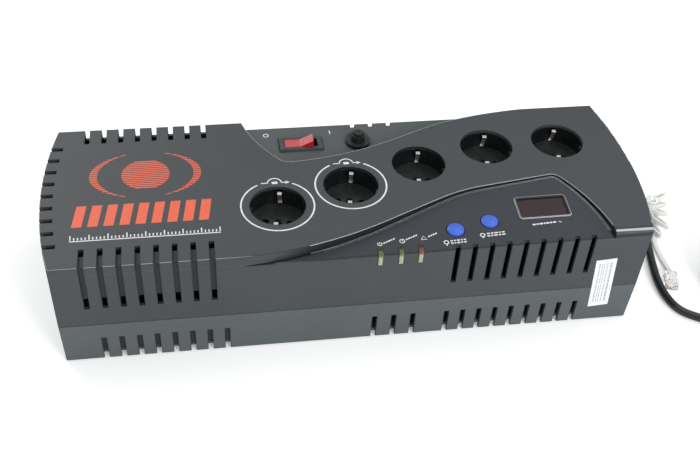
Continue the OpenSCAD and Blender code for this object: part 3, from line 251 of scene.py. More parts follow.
# the hank lies left and right of its tie; each loop on the right has its own length and swing
hank_at = Vector((283, 35, 3))
hank_turn, hank_left, hank_right = -25.0, 21.0, 21.0
hank_right_shares = [1, 1.42, 1.25, 0.86, 0.8, 0.95]
hank_swing = [-65, -56, -36, -8, 22, 48]
hank_waist, hank_belly, hank_step = 2.3, 1.0, 3.9
hank_from, hank_to = 0.25, 5.25
swing_from, swing_reach = 4.0, 7.0
rise_before, rise_over, fall_before, fall_over = 8, 16, 20, 22

# from the jack to the hank, and from the hank to the free plug
feed_path = [(249, 40.6, 25.8), (257, 41.6, 25.4), (266, 39.9, 24.2)]
phone_path = [(290.5, 24, 1.9), (289, 14.5, 1.9), (283.5, 7, 1.9), (281.4, -2, 1.9),
              (281, -13, 1.9), (281, -23, 2.2), (280.9, -30, 3)]
free_plug_at = Vector((280, -37.5, 3.6))
free_turn = Matrix.Rotation(radians(-12), 3, "Z")


def evenly(t):
    """Goes from 0 to 1 with a soft start and end."""
    t = clamped(t)
    return t * t * (3 - 2 * t)


def hank_point(t):
    """A place on the hank: loops that fan out right of the tie and lie together left of it."""
    c, s, k = cos(2 * pi * t), sin(2 * pi * t), round(t)
    x = (hank_right * hank_right_shares[k] if c > 0 else hank_left) * c
    y = -(hank_waist + hank_belly * 4 * c * c * (1 - c * c)) * s
    g = radians(hank_turn + hank_swing[k] * evenly((x - swing_from) / swing_reach))
    return hank_at + Vector((x * cos(g) - y * sin(g), x * sin(g) + y * cos(g),
                             hank_step * (t - hank_from)))


hank_count = round((hank_to - hank_from) * turn_steps)
hank_line = [hank_point(hank_from + (hank_to - hank_from) * k / hank_count)
             for k in range(hank_count + 1)]
hank_way = Vector((-cos(radians(hank_turn)), -sin(radians(hank_turn)), 0))
hank_line = [hank_line[0] - lead_in * hank_way] + hank_line + [hank_line[-1] + lead_in * hank_way]
feed_from = Vector((jack_x + plug_l - plug_in, port_y, jack_z))
feed_line = smooth_route([feed_from, feed_from + Vector((lead_in, 0, 0))] + feed_path
                         + [hank_line[-1] + 2 * lead_in * hank_way, hank_line[-1]])
free_line = smooth_route([hank_line[0], hank_line[0] - lead_in * hank_way] + phone_path
                         + [free_plug_at + free_turn @ Vector((0, lead_in, 0)), free_plug_at])
phone_whole = metres(feed_line[:-1] + hank_line[::-1][:-1] + free_line)

# a flat lead can only be folded standing on its edge, so it turns on its way into the hank
hank_starts = len(feed_line) - 1
hank_ends = hank_starts + len(hank_line) - 1
phone_turns = [pi / 2 * evenly((k - hank_starts + rise_before) / rise_over)
               * (1 - evenly((k - hank_ends + fall_before) / fall_over))
               for k in range(len(phone_whole))]


def join_rings(mesh, a, b):
    """Faces between two closed rings that have as many corners."""
    faces = []
    for k in range(len(a)):
        n = (k + 1) % len(a)
        faces.append(mesh.faces.new((a[k], a[n], b[n], b[k])))
    return faces


def flat_lead(name, line, w, t, sides, turns):
    """A lead of flat section with round edges, swept along its middle line and turned about it."""
    mesh = bmesh.new()
    rings = []
    for i, p in enumerate(line):
        way = (line[min(i + 1, len(line) - 1)] - line[max(i - 1, 0)]).normalized()
        across = way.cross(Vector((0, 0, 1))).normalized()
        up = across.cross(way)
        across, up = (cos(turns[i]) * across + sin(turns[i]) * up,
                      cos(turns[i]) * up - sin(turns[i]) * across)
        ring = []
        for k in range(sides):
            a = 2 * pi * k / sides
            c, s = cos(a), sin(a)
            ring.append(mesh.verts.new(
                p + across * (w / 2 * abs(c) ** round_side * (1 if c > 0 else -1))
                + up * (t / 2 * abs(s) ** round_face * (1 if s > 0 else -1))))
        rings.append(ring)
    for a, b in zip(rings, rings[1:]):
        for face in join_rings(mesh, a, b):
            face.smooth = True
    mesh.faces.new(rings[0][::-1])
    mesh.faces.new(rings[-1])
    return as_piece(name, mesh)


def as_piece(name, mesh):
    """Turns a finished mesh into a piece of the object."""
    bmesh.ops.recalc_face_normals(mesh, faces=mesh.faces)
    data = bpy.data.meshes.new(name)
    mesh.to_mesh(data)
    mesh.free()
    piece = bpy.data.objects.new(name, data)
    bpy.context.scene.collection.objects.link(piece)
    return piece


phone = flat_lead("phone_cable", phone_whole, phone_w * 0.001, phone_t * 0.001, phone_sides,
                  phone_turns)
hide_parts("phone_feed", "phone_hank", "phone_tail")
settle(phone, flexible_pvc("white_pvc_flat_sheath", "#FAFBF8", "#EEF0EB"))
finish_nodes(flexible_pvc("white_polythene_tie", "#F6F7F4", "#E8EAE5"), "hank_tie")

# Modular plugs of the telephone lead: clear polycarbonate mouldings with a springy latch. Four
# thin gold-plated contacts stand in slots at the tip, pressed down into the lead's cores.
contact_count, contact_t, contact_pitch = 4, 0.34, 2.0
contact_outline = [(0.9, 1.0), (4.2, 1.0), (4.2, 2.6), (3.7, 3.1), (1.4, 3.1), (1.0, 2.9), (0.9, 2.5)]


def clear_polycarbonate(name):
    """Clear injection-moulded polycarbonate: glossy, slightly hazy inside, with flow marks."""
    material, tree, surface, place = started(name)
    flow = add(tree, "ShaderNodeTexNoise", {}, {"Vector": place, "Scale": 1 / 0.002, "Detail": 2.0})
    haze = add(tree, "ShaderNodeMapRange", {}, {"Value": flow.outputs["Fac"], "To Min": 0.05,
                                                "To Max": 0.15})
    bump = add(tree, "ShaderNodeBump", {}, {"Height": flow.outputs["Fac"], "Strength": 0.1,
                                            "Distance": 0.0001})
    # 1.58 in the raw, and lower here, because the thin walls of the real one bend little light
    feed(tree, surface, {"Base Color": shade("#FFFFFF"), "IOR": 1.25, "Transmission Weight": 0.85,
                         "Roughness": haze.outputs["Result"], "Normal": bump.outputs["Normal"]})
    return material


def plated_metal(name, colour, wear_and_edge_shading, rough, grain):
    """Plated strip or wire: mirror-like plating over a drawn or stamped grain."""
    material, tree, surface, place = started(name)
    drawn = add(tree, "ShaderNodeTexNoise", {}, {"Vector": place, "Scale": 1 / grain, "Detail": 3.0})
    tint = add(tree, "ShaderNodeMix", {"data_type": "RGBA"},
               {"Factor": drawn.outputs["Fac"], 6: shade(colour), 7: shade(wear_and_edge_shading)})
    sheen = add(tree, "ShaderNodeMapRange", {}, {"Value": drawn.outputs["Fac"],
                                                 "To Min": rough * 0.7, "To Max": rough * 1.3})
    bump = add(tree, "ShaderNodeBump", {}, {"Height": drawn.outputs["Fac"], "Strength": 0.15,
                                            "Distance": 0.0001})
    feed(tree, surface, {"Base Color": tint.outputs[2], "Metallic": 1.0,
                         "Roughness": sheen.outputs["Result"], "Normal": bump.outputs["Normal"]})
    return material


def contact_blades(name, place):
    """Blades with rounded front ends, side by side, put where their plug lies."""
    mesh = bmesh.new()
    for k in range(contact_count):
        y = (k - (contact_count - 1) / 2) * contact_pitch
        near = [mesh.verts.new(place(x, y - contact_t / 2, z)) for x, z in contact_outline]
        away = [mesh.verts.new(place(x, y + contact_t / 2, z)) for x, z in contact_outline]
        mesh.faces.new(near)
        mesh.faces.new(away[::-1])
        join_rings(mesh, away, near)
    return as_piece(name, mesh)


def in_free_plug(x, y, z):
    return (free_plug_at + free_turn @ Vector((y, x - plug_l, -z))) * 0.001


def in_port_plug(x, y, z):
    return Vector((jack_x - plug_in + x, port_y + y, jack_z + z)) * 0.001


finish_nodes(clear_polycarbonate("clear_polycarbonate"), "phone_plug", "phone_plug_in")
gold_plate = plated_metal("gold_plated_bronze", "#D9A441", "#B98428", 0.22, 0.0006)
for name, place in (("contacts_free_plug", in_free_plug), ("contacts_port_plug", in_port_plug)):
    settle(contact_blades(name, place), gold_plate)

# Strain relief and mains plug: black PVC moulded over the sheath. The plug has a ribbed grip,
# two earth notches and two nickel-plated brass pins.
plug_face_y = 32.0


def moulded_pvc_with_pins(name):
    """Moulded PVC with a fine grain, and bare nickel-plated pins past the plug's face."""
    material, tree, surface, place = started(name)
    grain = add(tree, "ShaderNodeTexNoise", {}, {"Vector": place, "Scale": 1 / 0.0012, "Detail": 2.0})
    split = add(tree, "ShaderNodeSeparateXYZ", {}, {"Vector": place})
    pins = add(tree, "ShaderNodeMath", {"operation": "GREATER_THAN"},
               {0: split.outputs["Y"], 1: plug_face_y * 0.001})
    tint = add(tree, "ShaderNodeMix", {"data_type": "RGBA"},
               {"Factor": pins.outputs[0], 6: shade("#1B1D1F"), 7: shade("#C9C6BF")})
    rough = add(tree, "ShaderNodeMapRange", {}, {"Value": pins.outputs[0], "To Min": 0.5,
                                                 "To Max": 0.25})
    bump = add(tree, "ShaderNodeBump", {}, {"Height": grain.outputs["Fac"], "Strength": 0.25,
                                            "Distance": 0.0002})
    feed(tree, surface, {"Base Color": tint.outputs[2], "Roughness": rough.outputs["Result"],
                         "Metallic": pins.outputs[0], "Normal": bump.outputs["Normal"]})
    return material


finish_nodes(moulded_pvc_with_pins("moulded_pvc_and_nickel_pins"), "mains_plug")
finish_nodes(flexible_pvc("moulded_pvc_relief", "#191B1D", "#25282A"), "strain_relief")

# Case: cover, tray and the guards behind the vents, injection moulded in charcoal ABS with a fine
# spark-eroded texture. The sunken panel and its display frame are a darker colour. Light and shade are
# painted on: a painted highlight on the top's edges and in a band across the rolled front edge, a
# painted sheen on the recess floor, and painted shade in the groove, on the walls beside the panel, on
# the other edges, inside the display's frame, on the guards, and along the line where cover and tray
# meet.
split_z = 40.0
panel_drop, panel_tilt, panel_lean = 6.9, 3.15, 0.61
groove_d, recess_d = 1.4, 8
recess_z = case_h - recess_d
panel_turn = (Matrix.Rotation(radians(-panel_lean), 3, "Y")
              @ Matrix.Rotation(radians(panel_tilt), 3, "X"))
panel_normal = panel_turn @ Vector((0, 0, 1))
panel_base = Vector((0, -case_w / 2, case_h - panel_drop))

# where the painted colours change, in metres, and as the cosine of a slope: the panel, the recess
# floor's painted sheen, the painted shade of groove, walls and the line where cover and tray meet, and
# the painted highlight on the top's edges
panel_lift, panel_reach, panel_level = 0.0004, 0.0007, 0.9994
recess_sheen_reach, groove_shade_reach, seam_shade_reach = 0.0002, 0.0003, 0.00035
shaded_wall_lift, shaded_wall_reach, shaded_wall_slope = 0.0025, 0.0045, 0.55
groove_shade_from, groove_shade_full = -0.066, -0.03
# where the painted highlight on the top's edges may lie
highlight_above, highlight_across, highlight_from = 0.087, 0.0715, -0.095
socket_clear, button_clear, frame_border = 0.0235, 0.0105, 0.0009
socket_numbers = range(1, 6)
# painted highlight and painted shade in bands across the rolled front edge, by how far its faces tilt:
# each band's middle, reach and colour
rolled_edge_highlight_and_shade = ((0.85, 0.06, "#B4B8BB"), (0.95, 0.04, "#2A2D30"))


def on_panel(x, y, z):
    """A place on the sunken panel: x from the middle, y from the front edge, z above it."""
    return (panel_base + panel_turn @ Vector((x, y, z))) * 0.001


def lift_over_panel(tree, place):
    """How far a place lies above the panel's plane, as a node's output."""
    off = add(tree, "ShaderNodeVectorMath", {"operation": "SUBTRACT"},
              {0: place, 1: tuple(panel_base * 0.001)})
    return add(tree, "ShaderNodeVectorMath", {"operation": "DOT_PRODUCT"},
               {0: off.outputs["Vector"], 1: tuple(panel_normal)}).outputs["Value"]


def edges_of(tree, radius, samples, flat, sharp):
    """A mask of the edges, where a softened normal leaves the true one, and the softened normal."""
    soft = add(tree, "ShaderNodeBevel", {"samples": samples}, {"Radius": radius}).outputs["Normal"]
    true = add(tree, "ShaderNodeNewGeometry", {}, {}).outputs["True Normal"]
    turn = add(tree, "ShaderNodeVectorMath", {"operation": "DOT_PRODUCT"}, {0: soft, 1: true})
    edge = add(tree, "ShaderNodeMapRange", {}, {"Value": turn.outputs["Value"], "From Min": flat,
                                                "From Max": sharp})
    return edge.outputs["Result"], soft


def where_all(tree, *tests):
    """A mask of the places that pass every test of a value against a bound, or a middle and reach."""
    mask = None
    for kind, value, bound, reach in tests:
        passed = add(tree, "ShaderNodeMath", {"operation": kind}, {0: value, 1: bound, 2: reach})
        if mask:
            passed = add(tree, "ShaderNodeMath", {"operation": "MULTIPLY"},
                         {0: mask, 1: passed.outputs[0]})
        mask = passed.outputs[0]
    return mask


def moulded_abs(name, colour, wear_and_edge_shading, panel_colour=None, recess_sheen_colour=None):
    """Spark-textured ABS: an even matte grain, drawn a little coarse (0.9 mm) so that it shows, with
    painted shade where cover and tray meet and a painted tone on the edges; the cover adds painted
    highlights, sheen and shade by zone.
    """
    material, tree, surface, place = started(name)
    grain = add(tree, "ShaderNodeTexNoise", {}, {"Vector": place, "Scale": 1 / 0.0009, "Detail": 3.0})
    clouds = add(tree, "ShaderNodeTexNoise", {}, {"Vector": place, "Scale": 1 / 0.045, "Detail": 3.0})
    rough = add(tree, "ShaderNodeMapRange", {}, {"Value": grain.outputs["Fac"], "From Min": 0.3,
                                                 "From Max": 0.7, "To Min": 0.46, "To Max": 0.6})
    painted = add(tree, "ShaderNodeMix", {"data_type": "RGBA"},
                  {"Factor": clouds.outputs["Fac"], 6: shade(colour[0]), 7: shade(colour[1])})
    painted = painted.outputs[2]
    at = add(tree, "ShaderNodeSeparateXYZ", {}, {"Vector": place}).outputs
    edge, normal = edges_of(tree, radius=0.001, samples=6, flat=0.995, sharp=0.95)
    # painted shade: the line where cover and tray meet is painted nearly black, and the edges get the
    # edge colour, a painted shade on tray and guards
    seam_shade = where_all(tree, ("COMPARE", at["Z"], split_z * 0.001, seam_shade_reach))
    coats = [(seam_shade, shade("#0B0C0D")), (edge, shade(wear_and_edge_shading))]
    if panel_colour:
        lift = lift_over_panel(tree, place)
        shape = add(tree, "ShaderNodeNewGeometry", {}, {}).outputs
        up = add(tree, "ShaderNodeSeparateXYZ", {}, {"Vector": shape["True Normal"]}).outputs["Z"]
        facing = add(tree, "ShaderNodeVectorMath", {"operation": "DOT_PRODUCT"},
                     {0: shape["True Normal"], 1: tuple(panel_normal)}).outputs["Value"]
        level = ("GREATER_THAN", facing, panel_level, 0.0)
        panel = where_all(tree, ("COMPARE", lift, panel_lift, panel_reach), level)
        # painted sheen: the recess floor is painted lighter than the top
        recess_sheen = where_all(tree, ("COMPARE", at["Z"], recess_z * 0.001, recess_sheen_reach))
        zones = [(panel, shade(panel_colour)), (recess_sheen, shade(recess_sheen_colour))]
        # a painted highlight band across the rolled front edge, with a painted shade band above it
        for middle, reach, gloss_and_painted_band in rolled_edge_highlight_and_shade:
            zones.append((where_all(tree, ("COMPARE", up, middle, reach)), shade(gloss_and_painted_band)))
        # painted shade: the groove round the panel and the low walls beside it are painted nearly black,
        # the walls fading in from the left
        wall_shade_fade = add(tree, "ShaderNodeMapRange", {"interpolation_type": "SMOOTHSTEP"},
                    {"Value": at["X"], "From Min": groove_shade_from, "From Max": groove_shade_full})
        wall_shade = where_all(tree, ("LESS_THAN", facing, shaded_wall_slope, 0.0),
                          ("COMPARE", lift, shaded_wall_lift, shaded_wall_reach))
        wall_shade = add(tree, "ShaderNodeMath", {"operation": "MULTIPLY"},
                    {0: wall_shade, 1: wall_shade_fade.outputs["Result"]})
        groove_bed_shade = where_all(tree, ("COMPARE", lift, -groove_d * 0.001, groove_shade_reach), level)
        groove_shade = add(tree, "ShaderNodeMath", {"operation": "MAXIMUM"}, {0: groove_bed_shade, 1: wall_shade.outputs[0]})
        zones.append((groove_shade.outputs[0], shade("#1D1F23")))
        # painted highlight: the edges on the top alone, right of the vents and away from the holes'
        # rims, are painted pale
        tests = [("GREATER_THAN", at["Z"], highlight_above, 0.0), ("COMPARE", at["Y"], 0.0, highlight_across),
                 ("GREATER_THAN", at["X"], highlight_from, 0.0)]
        for hole in ["socket_insert_%d" % k for k in socket_numbers] + ["left_button", "right_button"]:
            low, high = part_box(hole)
            clear, rim_z = ((socket_clear, case_h * 0.001) if hole.startswith("socket")
                            else (button_clear, high[2]))
            far = add(tree, "ShaderNodeVectorMath", {"operation": "DISTANCE"},
                      {0: place, 1: ((low[0] + high[0]) / 2, (low[1] + high[1]) / 2, rim_z)})
            tests.append(("GREATER_THAN", far.outputs["Value"], clear, 0.0))
        edge_highlight_zone = where_all(tree, *tests)
        # the other edges stay sharp and are painted dark, a painted shade
        normal = add(tree, "ShaderNodeMix", {"data_type": "VECTOR"},
                     {"Factor": edge_highlight_zone, 4: shape["Normal"], 5: normal}).outputs[1]
        painted_rim_shading = add(tree, "ShaderNodeMix", {"data_type": "RGBA"},
                  {"Factor": edge_highlight_zone, 6: shade("#151719"), 7: shade(wear_and_edge_shading)}).outputs[2]
        # painted shade: the inner part of the display's frame, beside the window, is painted nearly
        # black
        low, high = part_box("display_window")
        inside = where_all(tree, *[("COMPARE", at["XY"[k]], (low[k] + high[k]) / 2,
                                    (high[k] - low[k]) / 2 + frame_border) for k in range(2)])
        coats = zones + [(seam_shade, shade("#0B0C0D")), (edge, painted_rim_shading), (inside, shade("#17191B"))]
    for mask, coat in coats:
        painted = add(tree, "ShaderNodeMix", {"data_type": "RGBA"},
                      {"Factor": mask, 6: painted, 7: coat}).outputs[2]
    bump = add(tree, "ShaderNodeBump", {}, {"Height": grain.outputs["Fac"], "Strength": 0.22,
                                            "Distance": 0.00016, "Normal": normal})
    feed(tree, surface, {"Base Color": painted, "Roughness": rough.outputs["Result"],
                         "Normal": bump.outputs["Normal"]})
    return material


# the cover's pale edge colour is a painted highlight, and its last colour is the recess floor's painted
# sheen
finish_nodes(moulded_abs("charcoal_abs_cover", ("#393D40", "#414548"), "#C4C8CB", "#2E3239",
                         "#4C5254"), "top_cover")
# the tray's dark edge colour is a painted shade
finish_nodes(moulded_abs("charcoal_abs_tray", ("#505659", "#585E61"), "#2E3133"), "bottom_tray")
# the guards behind the vents are painted darker than the cover, and their edges darker still: painted
# shade
finish_nodes(moulded_abs("charcoal_abs_guard_painted_shade", ("#26292A", "#2C2F30"), "#1D1F20"), "vent_guard",
             "tray_guard")

# Printing on the case: pad-printed ink in orange red and white. A striped emblem, a
# row of slanted bars, a tick scale, rings round the two bypass sockets, and small signs.
ink_low, ink_high = 0.01, 0.05


def printed_ink(name, colour, thin):
    """Pad-printed ink: an even satin film, a touch thinner here and there."""
    material, tree, surface, place = started(name)
    film = add(tree, "ShaderNodeTexNoise", {}, {"Vector": place, "Scale": 1 / 0.004, "Detail": 4.0})
    cover = add(tree, "ShaderNodeMapRange", {}, {"Value": film.outputs["Fac"], "From Min": 0.45,
                                                 "From Max": 0.8})
    tint = add(tree, "ShaderNodeMix", {"data_type": "RGBA"},
               {"Factor": cover.outputs["Result"], 6: shade(colour), 7: shade(thin)})
    bump = add(tree, "ShaderNodeBump", {}, {"Height": film.outputs["Fac"], "Strength": 0.2,
                                            "Distance": 0.0001})
    feed(tree, surface, {"Base Color": tint.outputs[2], "Roughness": 0.5,
                         "Normal": bump.outputs["Normal"]})
    return material


def lay_print(name, shapes, place, material):
    """Lays flat shapes, each a list of corners in millimetres, as a film of ink on a surface."""
    mesh = bmesh.new()
    for shape in shapes:
        low = [mesh.verts.new(place(x, y, ink_low)) for x, y in shape]
        high = [mesh.verts.new(place(x, y, ink_high)) for x, y in shape]
        mesh.faces.new(high)
        join_rings(mesh, low, high)
    settle(as_piece(name, mesh), material)


def on_top(x, y, z):
    return Vector((x, y - case_w / 2, case_h + z)) * 0.001


def on_recess(x, y, z):
    return Vector((x, y - case_w / 2, recess_z + z)) * 0.001


def bar(x, y, w, h, slant):
    """An upright bar from its lower left corner, leaning by slant at its top."""
    return [(x, y), (x + w, y), (x + w + slant, y + h), (x + slant, y + h)]


def stroke(points, w):
    """A line of even width through points, as a chain of four-cornered shapes."""
    sides = []
    for i, (x, y) in enumerate(points):
        x0, y0 = points[max(i - 1, 0)]
        x1, y1 = points[min(i + 1, len(points) - 1)]
        n = sqrt((x1 - x0) ** 2 + (y1 - y0) ** 2)
        nx, ny = -(y1 - y0) / n * w / 2, (x1 - x0) / n * w / 2
        sides.append(((x + nx, y + ny), (x - nx, y - ny)))
    return [[a[1], b[1], b[0], a[0]] for a, b in zip(sides, sides[1:])]


def arc(cx, cy, r, a0, a1, w, steps):
    return stroke([(cx + r * cos(radians(a0 + (a1 - a0) * k / steps)),
                    cy + r * sin(radians(a0 + (a1 - a0) * k / steps)))
                   for k in range(steps + 1)], w)


orange_ink = printed_ink("orange_red_pad_print", "#EA6748", "#E35D40")
white_ink = printed_ink("white_pad_print", "#E9EBEC", "#C7CBCD")

# a disc between two crescents, all drawn in fine stripes
oval_at, oval_w, oval_h, crescent = (-156.0, 98.5), 43.0, 27.0, 0.86
stripe_pitch, stripe_h, stripe_step, stripe_least = 2.2, 1.35, 0.2, 2.0
disc_w, disc_h = 18.5, 17.5


def on_emblem(x, y):
    """Whether a place is on a crescent or on the disc."""
    if (x / disc_w) ** 2 + (y / disc_h) ** 2 < 1:
        return True
    outer = (x / oval_w) ** 2 + (y / oval_h) ** 2
    return outer < 1 < (x / oval_w / crescent) ** 2 + (y / oval_h) ** 2


def stripe_parts(y):
    """Where a stripe runs at this height."""
    parts, start, x = [], None, -oval_w
    while x <= oval_w + stripe_h:
        drawn = on_emblem(x, y)
        if drawn and start is None:
            start = x
        if not drawn and start is not None:
            parts.append((start, x))
            start = None
        x += stripe_step
    return [p for p in parts if p[1] - p[0] > stripe_least]


oval = []
row = -floor(oval_h / stripe_pitch)
while row * stripe_pitch < oval_h:
    y = row * stripe_pitch
    lower, upper = stripe_parts(y - stripe_h / 2), stripe_parts(y + stripe_h / 2)
    if len(lower) != len(upper):
        lower = upper = stripe_parts(y)
    for (a, b), (c, d) in zip(lower, upper):
        oval.append([(oval_at[0] + x, oval_at[1] + y + rise * stripe_h / 2)
                     for x, rise in ((a, -1), (b, -1), (d, 1), (c, 1))])
    row += 1
lay_print("printed_oval", oval, on_top, orange_ink)

# the row of slanted bars below it, and the tick scale in white
bars_at, bar_pitch, bar_w, bar_h, bar_slant, bar_count = (-210, 42.5), 11.6, 7.4, 23, 3.2, 9
ticks_at, tick_pitch, tick_w, tick_count = (-210.5, 29.0), 2.7, 0.9, 41
tick_tall, tick_short, scale_y = 5.0, 2.6, 27.4
lay_print("printed_bars", [bar(bars_at[0] + k * bar_pitch, bars_at[1], bar_w, bar_h, bar_slant)
                           for k in range(bar_count)], on_top, orange_ink)
ticks = [bar(ticks_at[0] + k * tick_pitch, ticks_at[1], tick_w,
             tick_short if k % 5 else tick_tall, 0) for k in range(tick_count)]
ticks.append(bar(ticks_at[0], scale_y, (tick_count - 1) * tick_pitch + tick_w, tick_w, 0))
lay_print("printed_scale", ticks, on_top, white_ink)

# rings round the first two sockets, open at the top, with a bypass sign in each opening
ringed = ((-57.3, 53.3), (1.7, 72.1))
ring_r, ring_w, ring_from, ring_to = 27.9, 1.25, 119, 421
sign_up, sign_w, bridge_r, bridge_drop = 26.2, 0.95, 5.5, 0.3
wire_left, wire_right, arrow_from, arrow_to, arrow_half = 10.5, 9.0, 8.4, 12.0, 1.7
box_w, box_h = 4.4, 2.6
for k, (x, y) in enumerate(ringed):
    sy = y + sign_up
    sign = arc(x, y, ring_r, ring_from, ring_to, ring_w, 90)
    sign += stroke([(x - wire_left, sy), (x - bridge_r, sy)], sign_w)
    sign += stroke([(x + bridge_r, sy), (x + wire_right, sy)], sign_w)
    sign += arc(x, sy - bridge_drop, bridge_r, 180, 0, sign_w, 16)
    sign += [[(x + arrow_from, sy - arrow_half), (x + arrow_to, sy), (x + arrow_from, sy + arrow_half)]]
    sign += [bar(x - box_w / 2, sy - box_h / 2, box_w, box_h, 0)]
    lay_print("printed_ring_%d" % (k + 1), sign, on_top, white_ink)

# off and on signs beside the rocker switch
off_at, off_r, off_w = (-58, 149), 2.0, 0.8
on_x, on_low, on_high, on_w = -4.6, 147.0, 151.4, 0.9
lay_print("printed_off", arc(*off_at, off_r, 0, 360, off_w, 24), on_recess, white_ink)
lay_print("printed_on", stroke([(on_x, on_low), (on_x, on_high)], on_w), on_recess, white_ink)


def dashes(x, y, widths, h, gap, rise):
    """A short row of dashes that climbs a little to the right."""
    row = []
    for w in widths:
        row.append([(x, y), (x + w, y + w * rise), (x + w, y + w * rise + h), (x, y + h)])
        x, y = x + w + gap, y + (w + gap) * rise
    return row


# signs of the three lamps, each with its dashes: a power sign, a clock and a warning triangle
dash_h, dash_gap, dash_rise = 1.3, 0.5, 0.42
lamp_signs = (
    (stroke([(14.6, 10.0), (14.6, 12.0)], 0.6) + arc(14.6, 10.4, 1.7, 125, 415, 0.6, 14),
     (17.4, 10.2), (1.6, 1.2, 1.9, 1.0, 1.5)),
    (arc(31.8, 11.6, 1.9, 0, 360, 0.6, 16) + stroke([(31.8, 13.0), (31.8, 11.4), (33.0, 11.4)], 0.5),
     (34.9, 12.2), (1.3, 1.8, 1.1, 1.6, 1.2)),
    (stroke([(46.4, 11.6), (48.5, 15.2), (50.6, 11.6), (46.4, 11.6)], 0.55),
     (51.9, 13.4), (1.5, 1.2, 1.8, 1.4)))
small = []
for sign, (x, y), widths in lamp_signs:
    small += sign + dashes(x, y, widths, dash_h, dash_gap, dash_rise)

# a press sign and two rows of dashes under each button, and the display's dashes and wave
press_signs = ((62.6, 4.6, (2.0, 1.4, 2.4, 1.2, 1.8)), (91.6, 9.2, (2.6, 1.8, 3.0, 1.4, 2.2)))
press_x, press_y, press_r, press_w, stem_top, stem_foot = 2.0, 2.4, 1.7, 0.8, 0.6, -0.9
text_x, upper_y, lower_y, text_h, text_gap, text_rise = 5.4, 2.9, 0.5, 1.2, 0.8, 0.05
display_at, display_h, display_gap, display_rise = (134.5, 17.6), 1.5, 0.75, 0.06
display_dashes = (2.4, 1.6, 2.8, 1.3, 2.2, 1.7, 2.4)
wave, wave_w = ((155.2, 19.2), (156.0, 20.2), (157.0, 18.6), (157.8, 19.6)), 0.5
for x, y, widths in press_signs:
    small += arc(x + press_x, y + press_y, press_r, 0, 360, press_w, 14)
    small += stroke([(x + press_x, y + stem_top), (x + press_x, y + stem_foot)], press_w)
    for text_y, row in ((upper_y, widths), (lower_y, widths[::-1])):
        small += dashes(x + text_x, y + text_y, row, text_h, text_gap, text_rise)
small += dashes(*display_at, display_dashes, display_h, display_gap, display_rise)
small += stroke(wave, wave_w)
lay_print("printed_signs", small, on_panel, white_ink)

# Sticker: a strip of white coated paper stuck a little askew on the front, at the right. It is
# bare but for rows of grey dashes, and folds over the slight bend where cover meets tray.
sticker_corners = ((185.5, 69.7), (202.2, 71.1), (206.3, 17.7), (189.7, 16.3))
sticker_low, sticker_face, sticker_middle, print_on_it = 0.02, 0.12, 0.13, 0.15
sticker_rows = 22
tray_inset, tray_edge = 0.9, 1.0
tray_lean = tray_inset / (split_z - tray_edge)


def on_front(x, z, out):
    """A place on the front wall: x from the middle, z from the table, out from the wall."""
    back = max(0.0, split_z - z) * tray_lean
    return Vector((x, -case_w / 2 + back - out, z)) * 0.001


def on_sticker(u, v, out):
    """A place on the sticker, as shares of its width and of its height from the top."""
    (ax, az), (bx, bz), (cx, cz), (dx, dz) = sticker_corners
    x = (1 - v) * ((1 - u) * ax + u * bx) + v * ((1 - u) * dx + u * cx)
    z = (1 - v) * ((1 - u) * az + u * bz) + v * ((1 - u) * dz + u * cz)
    return on_front(x, z, out)


def coated_paper(name, colour, shadow):
    """Coated label paper: white, faintly fibrous, with a low sheen."""
    material, tree, surface, place = started(name)
    fibre = add(tree, "ShaderNodeTexNoise", {}, {"Vector": place, "Scale": 1 / 0.0015, "Detail": 4.0})
    tint = add(tree, "ShaderNodeMix", {"data_type": "RGBA"},
               {"Factor": fibre.outputs["Fac"], 6: shade(colour), 7: shade(shadow)})
    bump = add(tree, "ShaderNodeBump", {}, {"Height": fibre.outputs["Fac"], "Strength": 0.15,
                                            "Distance": 0.0001})
    feed(tree, surface, {"Base Color": tint.outputs[2], "Roughness": 0.45,
                         "Normal": bump.outputs["Normal"]})
    return material


mesh = bmesh.new()
section = ((0, sticker_low), (0, sticker_face), (0.5, sticker_middle), (1, sticker_face),
           (1, sticker_low))
grid = [[mesh.verts.new(on_sticker(u, v / sticker_rows, out)) for u, out in section]
        for v in range(sticker_rows + 1)]
for a, b in zip(grid, grid[1:]):
    for k in range(len(section) - 1):
        mesh.faces.new((a[k], a[k + 1], b[k + 1], b[k]))
mesh.faces.new(grid[0])
mesh.faces.new(grid[-1][::-1])
settle(as_piece("sticker", mesh), coated_paper("white_coated_paper", "#F4F7F9", "#ECEFF2"))

# two long rules and five rows of dashes, as shares of the sticker's width and height
rule_at, rule_w, rule_ends = (0.1, 0.88), 0.012, (0.05, 0.95)
dash_rows = ((0.18, 0.06), (0.32, 0.04), (0.42, 0.04), (0.56, 0.05), (0.72, 0.09))
rows_from, rows_to, row_gap, dash_least, dash_more = 0.08, 0.9, 0.012, 0.014, 0.009
ruled = [[(u, rule_ends[0]), (u + rule_w, rule_ends[0]), (u + rule_w, rule_ends[1]), (u, rule_ends[1])]
         for u in rule_at]
for k, (u, tall) in enumerate(dash_rows):
    at = rows_from
    while at < rows_to:
        long = dash_least + dash_more * ((len(ruled) * 5 + k * 3) % 4)
        ruled.append([(u, at), (u + tall, at), (u + tall, at + long), (u, at + long)])
        at += long + row_gap
mesh = bmesh.new()
for shape in ruled:
    mesh.faces.new([mesh.verts.new(on_sticker(u, v, print_on_it)) for u, v in shape])
settle(as_piece("sticker_lines", mesh), coated_paper("grey_print_on_paper", "#A3A8AC", "#94999D"))

# Sockets: deep cups in glossy black polycarbonate, with nickel-plated spring steel earth clips,
# zinc-plated centre screws, and stamped brass contacts and bars below.


